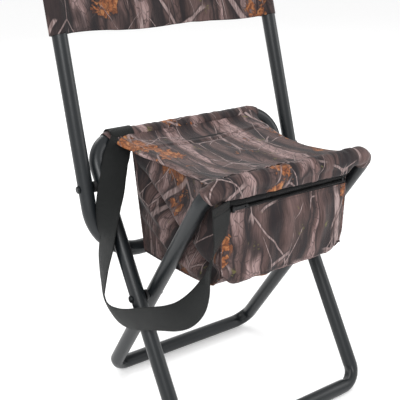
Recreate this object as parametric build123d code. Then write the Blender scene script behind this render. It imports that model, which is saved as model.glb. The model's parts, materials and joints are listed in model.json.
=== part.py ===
from build123d import *
import math
import os

# Folding camp stool with a backrest, a zipped pouch under the seat and a carrying strap.
# Millimetres, +Z up. X is across the seat, the sitter faces -Y. The stool stands on Z = 0.
# Everything is laid out with the leg pivot at Y = 0, and moved back by PIVOT_Y as it is written,
# so that the origin is the bottom centre of the whole stool.

# ---- frame tube ----
TUBE_R = 11.0
TUBE_WALL = 0.9
BUTT_GAP = 0.5
JOINER_LENGTH = 60.0
JOINER_PLAY = 0.1
JOINER_WALL = 1.2

# ---- crossed leg frames: each is a closed loop with a seat bar on top and a foot bar below ----
SEAT_BAR_Z = 401.0
FOOT_BAR_Z = TUBE_R
SEAT_BAR_Y = 128.0
FOOT_BAR_Y = 127.5
REAR_HALF_WIDTH = 164.0
FRONT_HALF_WIDTH = 138.5
REAR_TOP_BEND = 40.0
FRONT_TOP_BEND = 28.0
FOOT_BEND = 28.0

# ---- backrest frame: a U of tube outside the rear frame, riveted to its legs ----
BACK_RIVET_DROP = 65.0
BACK_LEAN = 18.0
BACK_HALF_WIDTH = 192.0
BACK_TAPER = 1.1
BACK_CROSSBAR_DROP = 101.0
BACK_BEND = 70.0
BACK_TUBE_TOP = 360.0
COVER_BOTTOM = 216.0
COVER_TOP = 366.0
CAP_FLANGE = 2.5
CAP_PLUG = 14.0
CAP_PLAY = 0.1
CAP_ROUND = 1.0

# ---- rivets and spacers ----
RIVET_R = 3.0
RIVET_PLAY = 0.06
RIVET_HEAD_R = 5.5
RIVET_HEAD_H = 2.5
HEAD_PLAY = 0.1
HEAD_FLAT = 0.4
SHANK_REACH = 0.1
SPACER_R = 8.0
SPACER_PLAY = 0.1
BACK_PLAY = 0.3

# ---- cloth ----
CLOTH = 1.6
SLEEVE_PLAY = 0.3
SLEEVE_WALL = 1.3
REAR_SLEEVE_END = 141.0
FRONT_SLEEVE_END = 135.0
SEAT_HALF_WIDTH = 122.0
SEAT_EDGE_Y = 113.0
SEAT_EDGE_Z = 405.0
SEAT_SAG = 13.0
SEAT_THICKNESS = 2.4
SEAT_NOTCH = (-98.0, 86.0)
COVER_PLAY = 0.4
COVER_WALL = 1.5
COVER_PANEL = 2.4
CUT_REACH = 5.0

# ---- pouch: rear panel, two gussets, bottom, and a front that swings in as the stool folds ----
POUCH_REAR_HALF = 124.0
POUCH_FRONT_HALF = 107.0
POUCH_FRONT_SHIFT = -11.0
POUCH_REAR_TOP = (80.0, 384.0)
POUCH_REAR_FOOT = (45.0, 250.0)
POUCH_FRONT_Y = -129.4
POUCH_FRONT_FOOT = 265.0
POUCH_GUSSET_TOP = 380.0
SEAM_GAP = 0.4

# ---- zip ----
ZIP_Z = 372.5
ZIP_ROW_GAP = 1.2
ZIP_ROW_WIDTH = 1.9
ZIP_ROW_DEPTH = 2.2
ZIP_TAPE_WIDTH = 2.6
ZIP_TAPE = 1.0
ZIP_HALF_LENGTH = 98.0
FLAP_TOP = 385.5
SLIDER_LENGTH = 9.0
SLIDER_HEIGHT = 8.0
SLIDER_PLATE = 0.9
SLIDER_PLAY = 0.3
SLIDER_INSET = 0.5
SLIDER_WEB = 0.7
PULL_PIN_R = 0.8
PULL_PIN_PLAY = 0.07
PULL_EYE_R = 2.0
PULL_LENGTH = 24.0
PULL_WIDTH = 5.0
PULL_THICKNESS = 1.2
PULL_HOLE_R = 1.3
PULL_HOLE_INSET = 5.0
LUG_HALF = 1.5
LUG_PLAY = 0.2
STOP_GAP = 0.2
STOP_LENGTH = 3.0
STOP_PROUD = 0.2

# ---- carrying strap ----
STRAP_WIDTH = 38.0
STRAP_THICKNESS = 1.5
STRAP_LOOP_FROM = -138.0
STRAP_LOOP_TO = -94.0
STRAP_LOOP_PLAY = 0.3
STRAP_TAB_Z = (374.6, 386.0)
# Middle line of the hanging strap, and the way its inner edge points from its outer edge.
STRAP_ROUTE = [
    ((-121, 109.2, 400), (1.0, 0.0, 0.0)),
    ((-130, 105.5, 388), (1.0, 0.0, 0.1)),
    ((-141, 95.5, 377), (1.0, 0.05, 0.1)),
    ((-152, 81.5, 364), (1.0, 0.0, 0.06)),
    ((-164, 69, 345), (0.90, -0.42, 0.0)),
    ((-176, 57, 326), (0.55, -0.83, 0.0)),
    ((-186, 44, 302), (0.2, -0.98, 0.0)),
    ((-189.5, 40.5, 284), (0.0, -1.0, 0.0)),
    ((-190, 46.5, 266), (-0.06, -1.0, 0.0)),
    ((-190, 52, 248), (-0.13, -0.99, 0.0)),
    ((-190, 55, 230), (-0.22, -0.97, 0.0)),
    ((-190, 57, 212), (-0.32, -0.94, 0.0)),
    ((-190, 56, 194), (-0.42, -0.85, 0.3)),
    ((-189.5, 46, 179.5), (-0.42, -0.6, 0.68)),
    ((-189, 27, 173.5), (-0.40, -0.25, 0.88)),
    ((-187.5, 3, 177), (-0.37, 0.0, 0.93)),
    ((-185.5, -21, 186), (-0.37, 0.15, 0.92)),
    ((-182, -44, 197), (-0.35, 0.25, 0.90)),
    ((-177, -70, 208.5), (-0.30, 0.3, 0.90)),
    ((-170, -94, 219), (-0.22, 0.45, 0.87)),
    ((-162, -113, 232), (-0.10, 0.65, 0.76)),
    ((-154, -127, 251), (0.10, 0.82, 0.56)),
    ((-147, -134.5, 274), (0.35, 0.85, 0.30)),
    ((-142, -137.2, 298), (0.58, 0.80, 0.12)),
    ((-137.5, -140.5, 320), (0.72, 0.68, 0.05)),
    ((-132.5, -143, 339), (0.84, 0.54, 0.0)),
    ((-129.5, -142, 353), (0.90, 0.43, 0.0)),
    ((-128.3, -141.2, 364), (0.93, 0.37, 0.0)),
    ((-128, -141, 373.5), (0.93, 0.37, 0.0)),
]

# ---- placing ----
PIVOT_Y = 32.2

TUBE_BORE = TUBE_R - TUBE_WALL
SLEEVE_BORE = TUBE_R + SLEEVE_PLAY
SLEEVE_R = SLEEVE_BORE + SLEEVE_WALL
COVER_BORE = TUBE_R + COVER_PLAY
COVER_R = COVER_BORE + COVER_WALL

LEG_RUN = SEAT_BAR_Y + FOOT_BAR_Y
LEG_RISE = SEAT_BAR_Z - FOOT_BAR_Z
LEG_LENGTH = math.hypot(LEG_RUN, LEG_RISE)
LEG_SIN = LEG_RUN / LEG_LENGTH
LEG_COS = LEG_RISE / LEG_LENGTH
PIVOT_Z = FOOT_BAR_Z + FOOT_BAR_Y * LEG_RISE / LEG_RUN
BACK_RIVET_Y = SEAT_BAR_Y - BACK_RIVET_DROP * LEG_SIN
BACK_RIVET_Z = SEAT_BAR_Z - BACK_RIVET_DROP * LEG_COS
BACK_SIN = math.sin(math.radians(BACK_LEAN))
BACK_COS = math.cos(math.radians(BACK_LEAN))


def leaning_plane(y, z, run, rise):
    """A plane through (0, y, z): its x runs along X and its y climbs by (run, rise) in Y and Z."""
    return Plane(origin=(0, y, z), x_dir=(1, 0, 0), z_dir=(0, -rise, run))


REAR_PLANE = leaning_plane(SEAT_BAR_Y, SEAT_BAR_Z, LEG_SIN, LEG_COS)
FRONT_PLANE = leaning_plane(-SEAT_BAR_Y, SEAT_BAR_Z, -LEG_SIN, LEG_COS)
BACK_PLANE = leaning_plane(BACK_RIVET_Y, BACK_RIVET_Z, BACK_SIN, BACK_COS)


def ring_along(path, outer, inner):
    """A pipe of the two radii, swept along a path."""
    start = Plane(origin=path @ 0, z_dir=path % 0)
    return sweep(start * (Circle(outer) - Circle(inner)), path=path)


def cross_rod(x_from, x_to, y, z, radius):
    """A round rod along X."""
    start = Plane(origin=(min(x_from, x_to), y, z), z_dir=(1, 0, 0))
    return extrude(start * Circle(radius), abs(x_to - x_from))


def block(x_from, x_to, y_from, y_to, z_from, z_to):
    """A box between two corners."""
    size = (abs(x_to - x_from), abs(y_to - y_from), abs(z_to - z_from))
    middle = ((x_from + x_to) / 2, (y_from + y_to) / 2, (z_from + z_to) / 2)
    return Pos(*middle) * Box(*size)


def ruled_solid(front, back):
    """A closed solid between two grids of points that have the same rows and columns."""
    rows = len(front)
    columns = len(front[0])
    faces = []

    def panel(a, b, c, d):
        faces.append(Face(Wire.make_polygon([a, b, c])))
        faces.append(Face(Wire.make_polygon([a, c, d])))

    for i in range(rows - 1):
        for j in range(columns - 1):
            panel(front[i][j], front[i][j + 1], front[i + 1][j + 1], front[i + 1][j])
            panel(back[i][j], back[i + 1][j], back[i + 1][j + 1], back[i][j + 1])
        panel(front[i][0], front[i + 1][0], back[i + 1][0], back[i][0])
        panel(front[i][-1], back[i][-1], back[i + 1][-1], front[i + 1][-1])
    for j in range(columns - 1):
        panel(front[0][j], back[0][j], back[0][j + 1], front[0][j + 1])
        panel(front[-1][j], front[-1][j + 1], back[-1][j + 1], back[-1][j])
    return Solid(Shell(faces))


# ---- frame tubes ----
def leg_loop(plane, half_width, top_bend):
    """One closed leg loop, butted at the middle of its seat bar, with its pivot holes still to drill."""
    path = plane * FilletPolyline(
        (BUTT_GAP / 2, 0),
        (half_width, 0),
        (half_width, -LEG_LENGTH),
        (-half_width, -LEG_LENGTH),
        (-half_width, 0),
        (-BUTT_GAP / 2, 0),
        radius=[top_bend, FOOT_BEND, FOOT_BEND, top_bend],
    )
    return ring_along(path, TUBE_R, TUBE_BORE)


def make_rear_seat_tube():
    tube = leg_loop(REAR_PLANE, REAR_HALF_WIDTH, REAR_TOP_BEND)
    reach = REAR_HALF_WIDTH + 2 * TUBE_R
    tube -= cross_rod(-reach, reach, 0, PIVOT_Z, RIVET_R)
    return tube - cross_rod(-reach, reach, BACK_RIVET_Y, BACK_RIVET_Z, RIVET_R)


def make_front_seat_tube():
    tube = leg_loop(FRONT_PLANE, FRONT_HALF_WIDTH, FRONT_TOP_BEND)
    reach = FRONT_HALF_WIDTH + 2 * TUBE_R
    return tube - cross_rod(-reach, reach, 0, PIVOT_Z, RIVET_R + RIVET_PLAY)


def make_joiner(y):
    """The short sleeve inside a seat bar that the two ends of its tube are pushed onto."""
    outer = TUBE_BORE - JOINER_PLAY
    rod = cross_rod(-JOINER_LENGTH / 2, JOINER_LENGTH / 2, y, SEAT_BAR_Z, outer)
    return rod - cross_rod(-JOINER_LENGTH, JOINER_LENGTH, y, SEAT_BAR_Z, outer - JOINER_WALL)


def back_x(height):
    """Half the distance between the backrest uprights, at a height along them above the rivets."""
    return BACK_HALF_WIDTH - height * math.tan(math.radians(BACK_TAPER))


def back_point(x, height, forward=0.0):
    """A point of the backrest, from its height along the uprights and its distance in front of them."""
    y = BACK_RIVET_Y + height * BACK_SIN - forward * BACK_COS
    z = BACK_RIVET_Z + height * BACK_COS + forward * BACK_SIN
    return (x, y, z)


def make_back_tube():
    top = back_x(BACK_TUBE_TOP)
    low = back_x(-BACK_CROSSBAR_DROP)
    path = BACK_PLANE * FilletPolyline(
        (top, BACK_TUBE_TOP),
        (low, -BACK_CROSSBAR_DROP),
        (-low, -BACK_CROSSBAR_DROP),
        (-top, BACK_TUBE_TOP),
        radius=BACK_BEND,
    )
    reach = BACK_HALF_WIDTH + 2 * TUBE_R
    holes = cross_rod(-reach, reach, BACK_RIVET_Y, BACK_RIVET_Z, RIVET_R + RIVET_PLAY)
    return ring_along(path, TUBE_R, TUBE_BORE) - holes


def upright_plane(side, height):
    """A plane across one backrest upright, with its z up along the tube."""
    low = Vector(*back_point(side * back_x(0), 0))
    high = Vector(*back_point(side * back_x(BACK_TUBE_TOP), BACK_TUBE_TOP))
    return Plane(origin=back_point(side * back_x(height), height), z_dir=high - low)


def make_back_cap(side):
    """A plastic plug in the open end of an upright, with a flange the size of the tube."""
    plane = upright_plane(side, BACK_TUBE_TOP)
    flange = extrude(plane * Circle(TUBE_R), CAP_FLANGE)
    top_face = flange.faces().sort_by(Axis(plane.origin, plane.z_dir))[-1]
    flange = fillet(top_face.edges(), CAP_ROUND)
    return flange + extrude(plane * Circle(TUBE_BORE - CAP_PLAY), -CAP_PLUG)


def make_back_cover():
    """The cloth backrest: a pocket over each upright, closed on top, and a panel between them."""
    length = COVER_TOP - COVER_BOTTOM
    half = COVER_PANEL / 2
    front = []
    back = []
    for height in (COVER_BOTTOM, COVER_TOP):
        x = back_x(height)
        front.append([back_point(-x, height, half), back_point(x, height, half)])
        back.append([back_point(-x, height, -half), back_point(x, height, -half)])
    cover = Part() + ruled_solid(front, back)
    for side in (-1, 1):
        cover += extrude(upright_plane(side, COVER_BOTTOM) * Circle(COVER_R), length)
    for side in (-1, 1):
        pocket = upright_plane(side, COVER_BOTTOM - CUT_REACH) * Circle(COVER_BORE)
        cover -= extrude(pocket, length + CUT_REACH - COVER_WALL)
    return cover


# ---- rivets and spacers ----
def domed_head(x, y, z, side):
    """A low domed rivet head whose flat side is at x and whose dome points to the side."""
    head = cross_rod(x, x + side * RIVET_HEAD_H, y, z, RIVET_HEAD_R)
    crown = head.faces().sort_by(Axis.X)[-1 if side > 0 else 0]
    return fillet(crown.edges(), RIVET_HEAD_H - HEAD_FLAT)


def make_rivet(inner_x, outer_x, side, y, z):
    """A rivet along X through two tubes, with a domed head at each end."""
    shank = cross_rod(side * (inner_x - SHANK_REACH), side * (outer_x + SHANK_REACH), y, z, RIVET_R)
    return shank + domed_head(side * outer_x, y, z, side) + domed_head(side * inner_x, y, z, -side)


def make_spacer(inner_x, outer_x, side, y, z, play):
    """A plastic washer on a rivet, between two tubes."""
    inner = side * (inner_x + play)
    outer = side * (outer_x - play)
    washer = cross_rod(inner, outer, y, z, SPACER_R)
    return washer - cross_rod(2 * inner, 0, y, z, RIVET_R + RIVET_PLAY)


REAR_LEG_IN = REAR_HALF_WIDTH - TUBE_R
REAR_LEG_OUT = REAR_HALF_WIDTH + TUBE_R
FRONT_LEG_IN = FRONT_HALF_WIDTH - TUBE_R
FRONT_LEG_OUT = FRONT_HALF_WIDTH + TUBE_R
BACK_LEG_IN = BACK_HALF_WIDTH - TUBE_R
BACK_LEG_OUT = BACK_HALF_WIDTH + TUBE_R


def make_leg_rivet(side):
    return make_rivet(FRONT_LEG_IN - HEAD_PLAY, REAR_LEG_OUT, side, 0, PIVOT_Z)


def make_leg_spacer(side):
    return make_spacer(FRONT_LEG_OUT, REAR_LEG_IN, side, 0, PIVOT_Z, SPACER_PLAY)


def make_back_rivet(side):
    return make_rivet(REAR_LEG_IN, BACK_LEG_OUT + BACK_PLAY, side, BACK_RIVET_Y, BACK_RIVET_Z)


def make_back_spacer(side):
    return make_spacer(REAR_LEG_OUT, BACK_LEG_IN, side, BACK_RIVET_Y, BACK_RIVET_Z, BACK_PLAY)


# ---- seat cloth ----
def bar_cover(plane, half_width, bend, bore, outer, x_from, x_to):
    """A cloth tube round a seat bar and into its bends, cut off at two places across the seat."""
    drop = 2 * bend
    path = plane * FilletPolyline(
        (half_width, -drop), (half_width, 0), (-half_width, 0), (-half_width, -drop), radius=bend
    )
    pipe = ring_along(path, outer, bore)
    reach = 2 * SEAT_BAR_Y
    return pipe & block(x_from, x_to, -reach, reach, SEAT_BAR_Z - drop, SEAT_BAR_Z + drop)


def make_rear_sleeve():
    return bar_cover(
        REAR_PLANE, REAR_HALF_WIDTH, REAR_TOP_BEND, SLEEVE_BORE, SLEEVE_R, -REAR_SLEEVE_END, REAR_SLEEVE_END
    )


def make_front_sleeve():
    return bar_cover(
        FRONT_PLANE,
        FRONT_HALF_WIDTH,
        FRONT_TOP_BEND,
        SLEEVE_BORE,
        SLEEVE_R,
        -FRONT_SLEEVE_END,
        FRONT_SLEEVE_END,
    )


def make_seat_panel():
    """The seat cloth between the two bars, sagging in one shallow arc."""
    edge = (SEAT_EDGE_Y, SEAT_EDGE_Z)
    middle = (0, SEAT_EDGE_Z - SEAT_SAG)
    far = (-SEAT_EDGE_Y, SEAT_EDGE_Z)
    section = Plane.YZ * make_face(
        [
            ThreePointArc(edge, middle, far),
            Line(far, (far[0], far[1] - SEAT_THICKNESS)),
            ThreePointArc(
                (far[0], far[1] - SEAT_THICKNESS),
                (0, middle[1] - SEAT_THICKNESS),
                (edge[0], edge[1] - SEAT_THICKNESS),
            ),
            Line((edge[0], edge[1] - SEAT_THICKNESS), edge),
        ]
    )
    panel = extrude(section, SEAT_HALF_WIDTH, both=True)
    notch_x, notch_y = SEAT_NOTCH
    return panel - block(-2 * SEAT_HALF_WIDTH, notch_x, notch_y, 2 * SEAT_EDGE_Y, 0, 2 * SEAT_BAR_Z)


# ---- pouch ----
def pouch_side(side, y):
    """Where one side of the pouch is inside: it narrows towards its front, and is drawn to the left."""
    share = (POUCH_REAR_FOOT[0] - y) / (POUCH_REAR_FOOT[0] - POUCH_FRONT_Y)
    half = POUCH_REAR_HALF + (POUCH_FRONT_HALF - POUCH_REAR_HALF) * share
    return side * half + POUCH_FRONT_SHIFT * share


def make_pouch_rear_panel():
    half = POUCH_REAR_HALF - SEAM_GAP
    front = []
    back = []
    for y, z in (POUCH_REAR_FOOT, POUCH_REAR_TOP):
        front.append([(-half, y, z), (half, y, z)])
        back.append([(-half, y + CLOTH, z), (half, y + CLOTH, z)])
    return ruled_solid(front, back)


def make_pouch_gusset(side):
    front_y = POUCH_FRONT_Y + SEAM_GAP
    foot = [(POUCH_REAR_FOOT[0], POUCH_REAR_FOOT[1]), (front_y, POUCH_FRONT_FOOT)]
    top = [(POUCH_REAR_TOP[0], POUCH_REAR_TOP[1]), (front_y, POUCH_GUSSET_TOP)]
    inner = []
    outer = []
    for row in (foot, top):
        inner.append([(pouch_side(side, y), y, z) for y, z in row])
        outer.append([(pouch_side(side, y) + side * CLOTH, y, z) for y, z in row])
    if side > 0:
        return ruled_solid(outer, inner)
    return ruled_solid(inner, outer)


def make_pouch_bottom():
    rear_y = POUCH_REAR_FOOT[0] - SEAM_GAP
    front_y = POUCH_FRONT_Y + SEAM_GAP
    upper = []
    lower = []
    for y, z in ((rear_y, POUCH_REAR_FOOT[1]), (front_y, POUCH_FRONT_FOOT)):
        left = pouch_side(-1, y) + SEAM_GAP
        right = pouch_side(1, y) - SEAM_GAP
        upper.append([(left, y, z + CLOTH), (right, y, z + CLOTH)])
        lower.append([(left, y, z), (right, y, z)])
    return ruled_solid(upper, lower)


def make_front_piece(z_from, z_to, thickness):
    """An upright strip of the pouch's front, with its inner face on the front plane."""
    left = POUCH_FRONT_SHIFT - POUCH_FRONT_HALF
    right = POUCH_FRONT_SHIFT + POUCH_FRONT_HALF
    return block(left, right, POUCH_FRONT_Y - thickness, POUCH_FRONT_Y, z_from, z_to)


ROW_LOW = ZIP_Z - ZIP_ROW_GAP / 2 - ZIP_ROW_WIDTH
ROW_HIGH = ZIP_Z + ZIP_ROW_GAP / 2 + ZIP_ROW_WIDTH
TAPE_LOW = ROW_LOW - ZIP_TAPE_WIDTH
TAPE_HIGH = ROW_HIGH + ZIP_TAPE_WIDTH
ZIP_MIDDLE_Y = POUCH_FRONT_Y - ZIP_TAPE / 2


def make_pouch_front_panel():
    return make_front_piece(POUCH_FRONT_FOOT, TAPE_LOW, CLOTH)


def make_front_flap():
    return make_front_piece(TAPE_HIGH, FLAP_TOP, CLOTH)


def make_zipper_tape(low, high):
    return make_front_piece(low, high, ZIP_TAPE)


def make_zipper_row(low, high):
    """One row of the zip's coil, as the bar that its turns fill."""
    half = ZIP_ROW_DEPTH / 2
    left = POUCH_FRONT_SHIFT - ZIP_HALF_LENGTH
    right = POUCH_FRONT_SHIFT + ZIP_HALF_LENGTH
    bar = block(left, right, ZIP_MIDDLE_Y - half, ZIP_MIDDLE_Y + half, low, high)
    return fillet(bar.edges().filter_by(Axis.X), 0.5)


def make_zipper_stops():
    """A metal clip across both rows at each end of the zip."""
    half = ZIP_ROW_DEPTH / 2 + STOP_PROUD
    clips = []
    for side in (-1, 1):
        inner = POUCH_FRONT_SHIFT + side * (ZIP_HALF_LENGTH + STOP_GAP)
        outer = POUCH_FRONT_SHIFT + side * (ZIP_HALF_LENGTH + STOP_GAP + STOP_LENGTH)
        low = ROW_LOW + STOP_GAP
        high = ROW_HIGH - STOP_GAP
        clip = block(inner, outer, ZIP_MIDDLE_Y - half, ZIP_MIDDLE_Y + half, low, high)
        clips.append(fillet(clip.edges().filter_by(Axis.X), 0.4))
    return clips


SLIDER_X = POUCH_FRONT_SHIFT - ZIP_HALF_LENGTH + SLIDER_LENGTH / 2 + SLIDER_INSET
SLIDER_FACE = ZIP_MIDDLE_Y - ZIP_ROW_DEPTH / 2 - SLIDER_PLAY
PIN_Y = SLIDER_FACE - SLIDER_PLATE - PULL_EYE_R - LUG_PLAY


def make_zipper_slider():
    """Two plates either side of the coil, a web between its rows, and lugs with the pull's pin."""
    x_from = SLIDER_X - SLIDER_LENGTH / 2
    x_to = SLIDER_X + SLIDER_LENGTH / 2
    low = ZIP_Z - SLIDER_HEIGHT / 2
    high = ZIP_Z + SLIDER_HEIGHT / 2
    rear_face = ZIP_MIDDLE_Y + ZIP_ROW_DEPTH / 2 + SLIDER_PLAY
    slider = block(x_from, x_to, SLIDER_FACE - SLIDER_PLATE, SLIDER_FACE, low, high)
    slider += block(x_from, x_to, rear_face, rear_face + SLIDER_PLATE, low, high)
    slider += block(x_from, x_to, SLIDER_FACE, rear_face, ZIP_Z - SLIDER_WEB / 2, ZIP_Z + SLIDER_WEB / 2)
    for side in (-1, 1):
        z_in = ZIP_Z + side * (PULL_WIDTH / 2 + LUG_PLAY)
        z_out = ZIP_Z + side * SLIDER_HEIGHT / 2
        lug_face = SLIDER_FACE - LUG_PLAY
        slider += block(SLIDER_X - LUG_HALF, SLIDER_X + LUG_HALF, PIN_Y - LUG_HALF, lug_face, z_in, z_out)
    pin_plane = Plane(origin=(SLIDER_X, PIN_Y, low), z_dir=(0, 0, 1))
    return slider + extrude(pin_plane * Circle(PULL_PIN_R), SLIDER_HEIGHT)


def make_zipper_pull():
    """The pull tab, with an eye round the slider's pin, lying along the zip."""
    low = ZIP_Z - PULL_WIDTH / 2
    pin_plane = Plane(origin=(SLIDER_X, PIN_Y, low), z_dir=(0, 0, 1))
    half = PULL_THICKNESS / 2
    tab = block(SLIDER_X, SLIDER_X + PULL_LENGTH, PIN_Y - half, PIN_Y + half, low, low + PULL_WIDTH)
    tab = fillet(tab.edges().filter_by(Axis.Y).group_by(Axis.X)[-1], PULL_WIDTH / 2 - LUG_PLAY)
    pull = tab + extrude(pin_plane * Circle(PULL_EYE_R), PULL_WIDTH)
    hole_x = SLIDER_X + PULL_LENGTH - PULL_HOLE_INSET
    hole = Pos(hole_x, PIN_Y, ZIP_Z) * Rot(90, 0, 0) * Cylinder(PULL_HOLE_R, 2 * PULL_WIDTH)
    return pull - extrude(pin_plane * Circle(PULL_PIN_R + PULL_PIN_PLAY), PULL_WIDTH) - hole


# ---- carrying strap ----
def strap_sections():
    """The corners of the strap at each point of its route: outer and inner edge, front and back."""
    points = [Vector(*point) for point, _ in STRAP_ROUTE]
    front = []
    back = []
    for i, (_, across) in enumerate(STRAP_ROUTE):
        before = points[max(i - 1, 0)]
        after = points[min(i + 1, len(points) - 1)]
        along = (after - before).normalized()
        across = Vector(*across)
        across = (across - along * across.dot(along)).normalized()
        out = across.cross(along)
        edge = across * (STRAP_WIDTH / 2)
        rise = out * (STRAP_THICKNESS / 2)
        front.append([tuple(points[i] - edge + rise), tuple(points[i] + edge + rise)])
        back.append([tuple(points[i] - edge - rise), tuple(points[i] + edge - rise)])
    return front, back


def make_shoulder_strap():
    front, back = strap_sections()
    return ruled_solid(front, back)


def make_strap_rear_loop():
    """The turn of webbing round the rear seat bar, over the end of its cloth sleeve."""
    bore = SLEEVE_R + STRAP_LOOP_PLAY
    outer = bore + STRAP_THICKNESS
    return bar_cover(
        REAR_PLANE, REAR_HALF_WIDTH, REAR_TOP_BEND, bore, outer, STRAP_LOOP_FROM, STRAP_LOOP_TO
    )


def make_strap_front_tab():
    """The end of the webbing, sewn up under the front seat bar."""
    (x, y, _), across = STRAP_ROUTE[-1]
    low, high = STRAP_TAB_Z
    turn = math.degrees(math.atan2(across[1], across[0]))
    tab = Box(STRAP_WIDTH, STRAP_THICKNESS, high - low)
    return Pos(x, y, (low + high) / 2) * Rot(0, 0, turn) * tab


def report_strap():
    """Print the strap's length along its middle line."""
    points = [Vector(*point) for point, _ in STRAP_ROUTE]
    length = sum((b - a).length for a, b in zip(points, points[1:]))
    print("strap length", round(length, 1))


def make_parts():
    """Every sub-part by its name."""
    parts = {
        "rear_seat_tube": make_rear_seat_tube(),
        "front_seat_tube": make_front_seat_tube(),
        "rear_joiner": make_joiner(SEAT_BAR_Y),
        "front_joiner": make_joiner(-SEAT_BAR_Y),
        "back_tube": make_back_tube(),
        "back_cover": make_back_cover(),
        "rear_sleeve": make_rear_sleeve(),
        "front_sleeve": make_front_sleeve(),
        "seat_panel": make_seat_panel(),
        "pouch_rear_panel": make_pouch_rear_panel(),
        "pouch_bottom": make_pouch_bottom(),
        "pouch_front_panel": make_pouch_front_panel(),
        "front_flap": make_front_flap(),
        "zipper_tape_lower": make_zipper_tape(TAPE_LOW, ROW_LOW),
        "zipper_tape_upper": make_zipper_tape(ROW_HIGH, TAPE_HIGH),
        "zipper_coil_lower": make_zipper_row(ROW_LOW, ROW_LOW + ZIP_ROW_WIDTH),
        "zipper_coil_upper": make_zipper_row(ROW_HIGH - ZIP_ROW_WIDTH, ROW_HIGH),
        "zipper_stops": make_zipper_stops(),
        "zipper_slider": make_zipper_slider(),
        "zipper_pull": make_zipper_pull(),
        "shoulder_strap": make_shoulder_strap(),
        "strap_rear_loop": make_strap_rear_loop(),
        "strap_front_tab": make_strap_front_tab(),
    }
    for name, side in (("left", -1), ("right", 1)):
        parts[f"leg_rivet_{name}"] = make_leg_rivet(side)
        parts[f"leg_spacer_{name}"] = make_leg_spacer(side)
        parts[f"back_rivet_{name}"] = make_back_rivet(side)
        parts[f"back_spacer_{name}"] = make_back_spacer(side)
        parts[f"back_cap_{name}"] = make_back_cap(side)
        parts[f"pouch_gusset_{name}"] = make_pouch_gusset(side)
    return parts


os.makedirs("parts", exist_ok=True)
for node, shape in make_parts().items():
    pieces = shape if isinstance(shape, list) else [shape]
    placed = [Pos(0, -PIVOT_Y, 0) * solid for piece in pieces for solid in piece.solids()]
    export_step(placed[0] if len(placed) == 1 else Compound(children=placed), f"parts/{node}.step")
report_strap()
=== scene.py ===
import json
import math

import bmesh
import bpy
import numpy as np
from mathutils import Matrix, Vector

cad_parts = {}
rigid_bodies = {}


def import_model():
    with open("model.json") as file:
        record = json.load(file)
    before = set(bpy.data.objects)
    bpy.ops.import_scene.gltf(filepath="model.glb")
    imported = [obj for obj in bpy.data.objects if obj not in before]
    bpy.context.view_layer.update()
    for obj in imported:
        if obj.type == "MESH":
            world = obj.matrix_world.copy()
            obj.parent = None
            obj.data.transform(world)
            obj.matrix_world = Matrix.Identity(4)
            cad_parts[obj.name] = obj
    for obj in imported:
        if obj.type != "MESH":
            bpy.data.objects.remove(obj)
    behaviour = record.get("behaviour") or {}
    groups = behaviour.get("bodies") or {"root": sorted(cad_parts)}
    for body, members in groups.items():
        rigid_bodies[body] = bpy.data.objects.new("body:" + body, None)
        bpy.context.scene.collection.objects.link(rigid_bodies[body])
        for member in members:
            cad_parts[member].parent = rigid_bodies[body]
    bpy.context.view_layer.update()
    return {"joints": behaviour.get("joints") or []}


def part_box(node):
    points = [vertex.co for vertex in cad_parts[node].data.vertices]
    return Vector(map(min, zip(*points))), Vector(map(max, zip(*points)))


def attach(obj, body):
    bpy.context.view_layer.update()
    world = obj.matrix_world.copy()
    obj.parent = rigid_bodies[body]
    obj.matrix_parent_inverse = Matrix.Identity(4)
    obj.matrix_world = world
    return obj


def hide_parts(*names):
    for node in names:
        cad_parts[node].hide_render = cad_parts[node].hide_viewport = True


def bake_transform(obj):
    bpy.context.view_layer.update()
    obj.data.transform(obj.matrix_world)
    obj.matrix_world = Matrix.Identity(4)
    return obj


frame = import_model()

# ---------------------------------------------------------------------------------------------
# Sizes and places, in metres, read from the frame
# ---------------------------------------------------------------------------------------------
TUBE_R = 0.011
CLOTH = 0.0009
SLEEVE_R = 0.0126
WEB_WIDTH = 0.038
WEB_THICK = 0.0014
COVER_PLY = 0.0008
THREAD_LIFT = 0.0004

joints = {joint["name"]: joint for joint in frame["joints"]}
PIVOT = Vector(joints["leg_fold"]["pos_m"])
BACK_RIVET = Vector(joints["back_fold"]["pos_m"])
rear_low, rear_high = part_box("rear_seat_tube")
front_low, front_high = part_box("front_seat_tube")

MID_Y = PIVOT.y
SEAT_Z = rear_high[2] - TUBE_R
FOOT_Z = TUBE_R
REAR_HALF = rear_high[0] - TUBE_R
FRONT_HALF = front_high[0] - TUBE_R
REAR_BAR_Y = rear_high[1] - TUBE_R
FRONT_BAR_Y = front_low[1] + TUBE_R
REAR_FOOT_Y = front_high[1] - TUBE_R
FRONT_FOOT_Y = rear_low[1] + TUBE_R
REAR_TOP_BEND = 0.040
FRONT_TOP_BEND = 0.028
FOOT_BEND = 0.028

BACK_LEAN = math.radians(18.0)
BACK_TAPER = math.radians(1.1)
BACK_HALF = 0.192
BACK_DROP = 0.101
BACK_BEND = 0.070
BACK_TOP = 0.360
COVER_BOTTOM = 0.216
COVER_TOP = 0.366

panel_low, panel_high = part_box("pouch_front_panel")
POUCH_FRONT_Y = panel_high[1]
POUCH_FRONT_HALF = (panel_high[0] - panel_low[0]) / 2
POUCH_SHIFT = (panel_high[0] + panel_low[0]) / 2
POUCH_FRONT_FOOT = panel_low[2]
pouch_rear_low, pouch_rear_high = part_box("pouch_rear_panel")
POUCH_REAR_FOOT = (pouch_rear_low[1], pouch_rear_low[2])
POUCH_REAR_TOP = (pouch_rear_high[1] - 0.0016, pouch_rear_high[2])
POUCH_REAR_HALF = pouch_rear_high[0]
SEAT_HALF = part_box("seat_panel")[1][0]
REAR_SEAM_Y = REAR_BAR_Y - 0.060
FRONT_SEAM_Y = FRONT_BAR_Y + 0.0125


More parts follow.
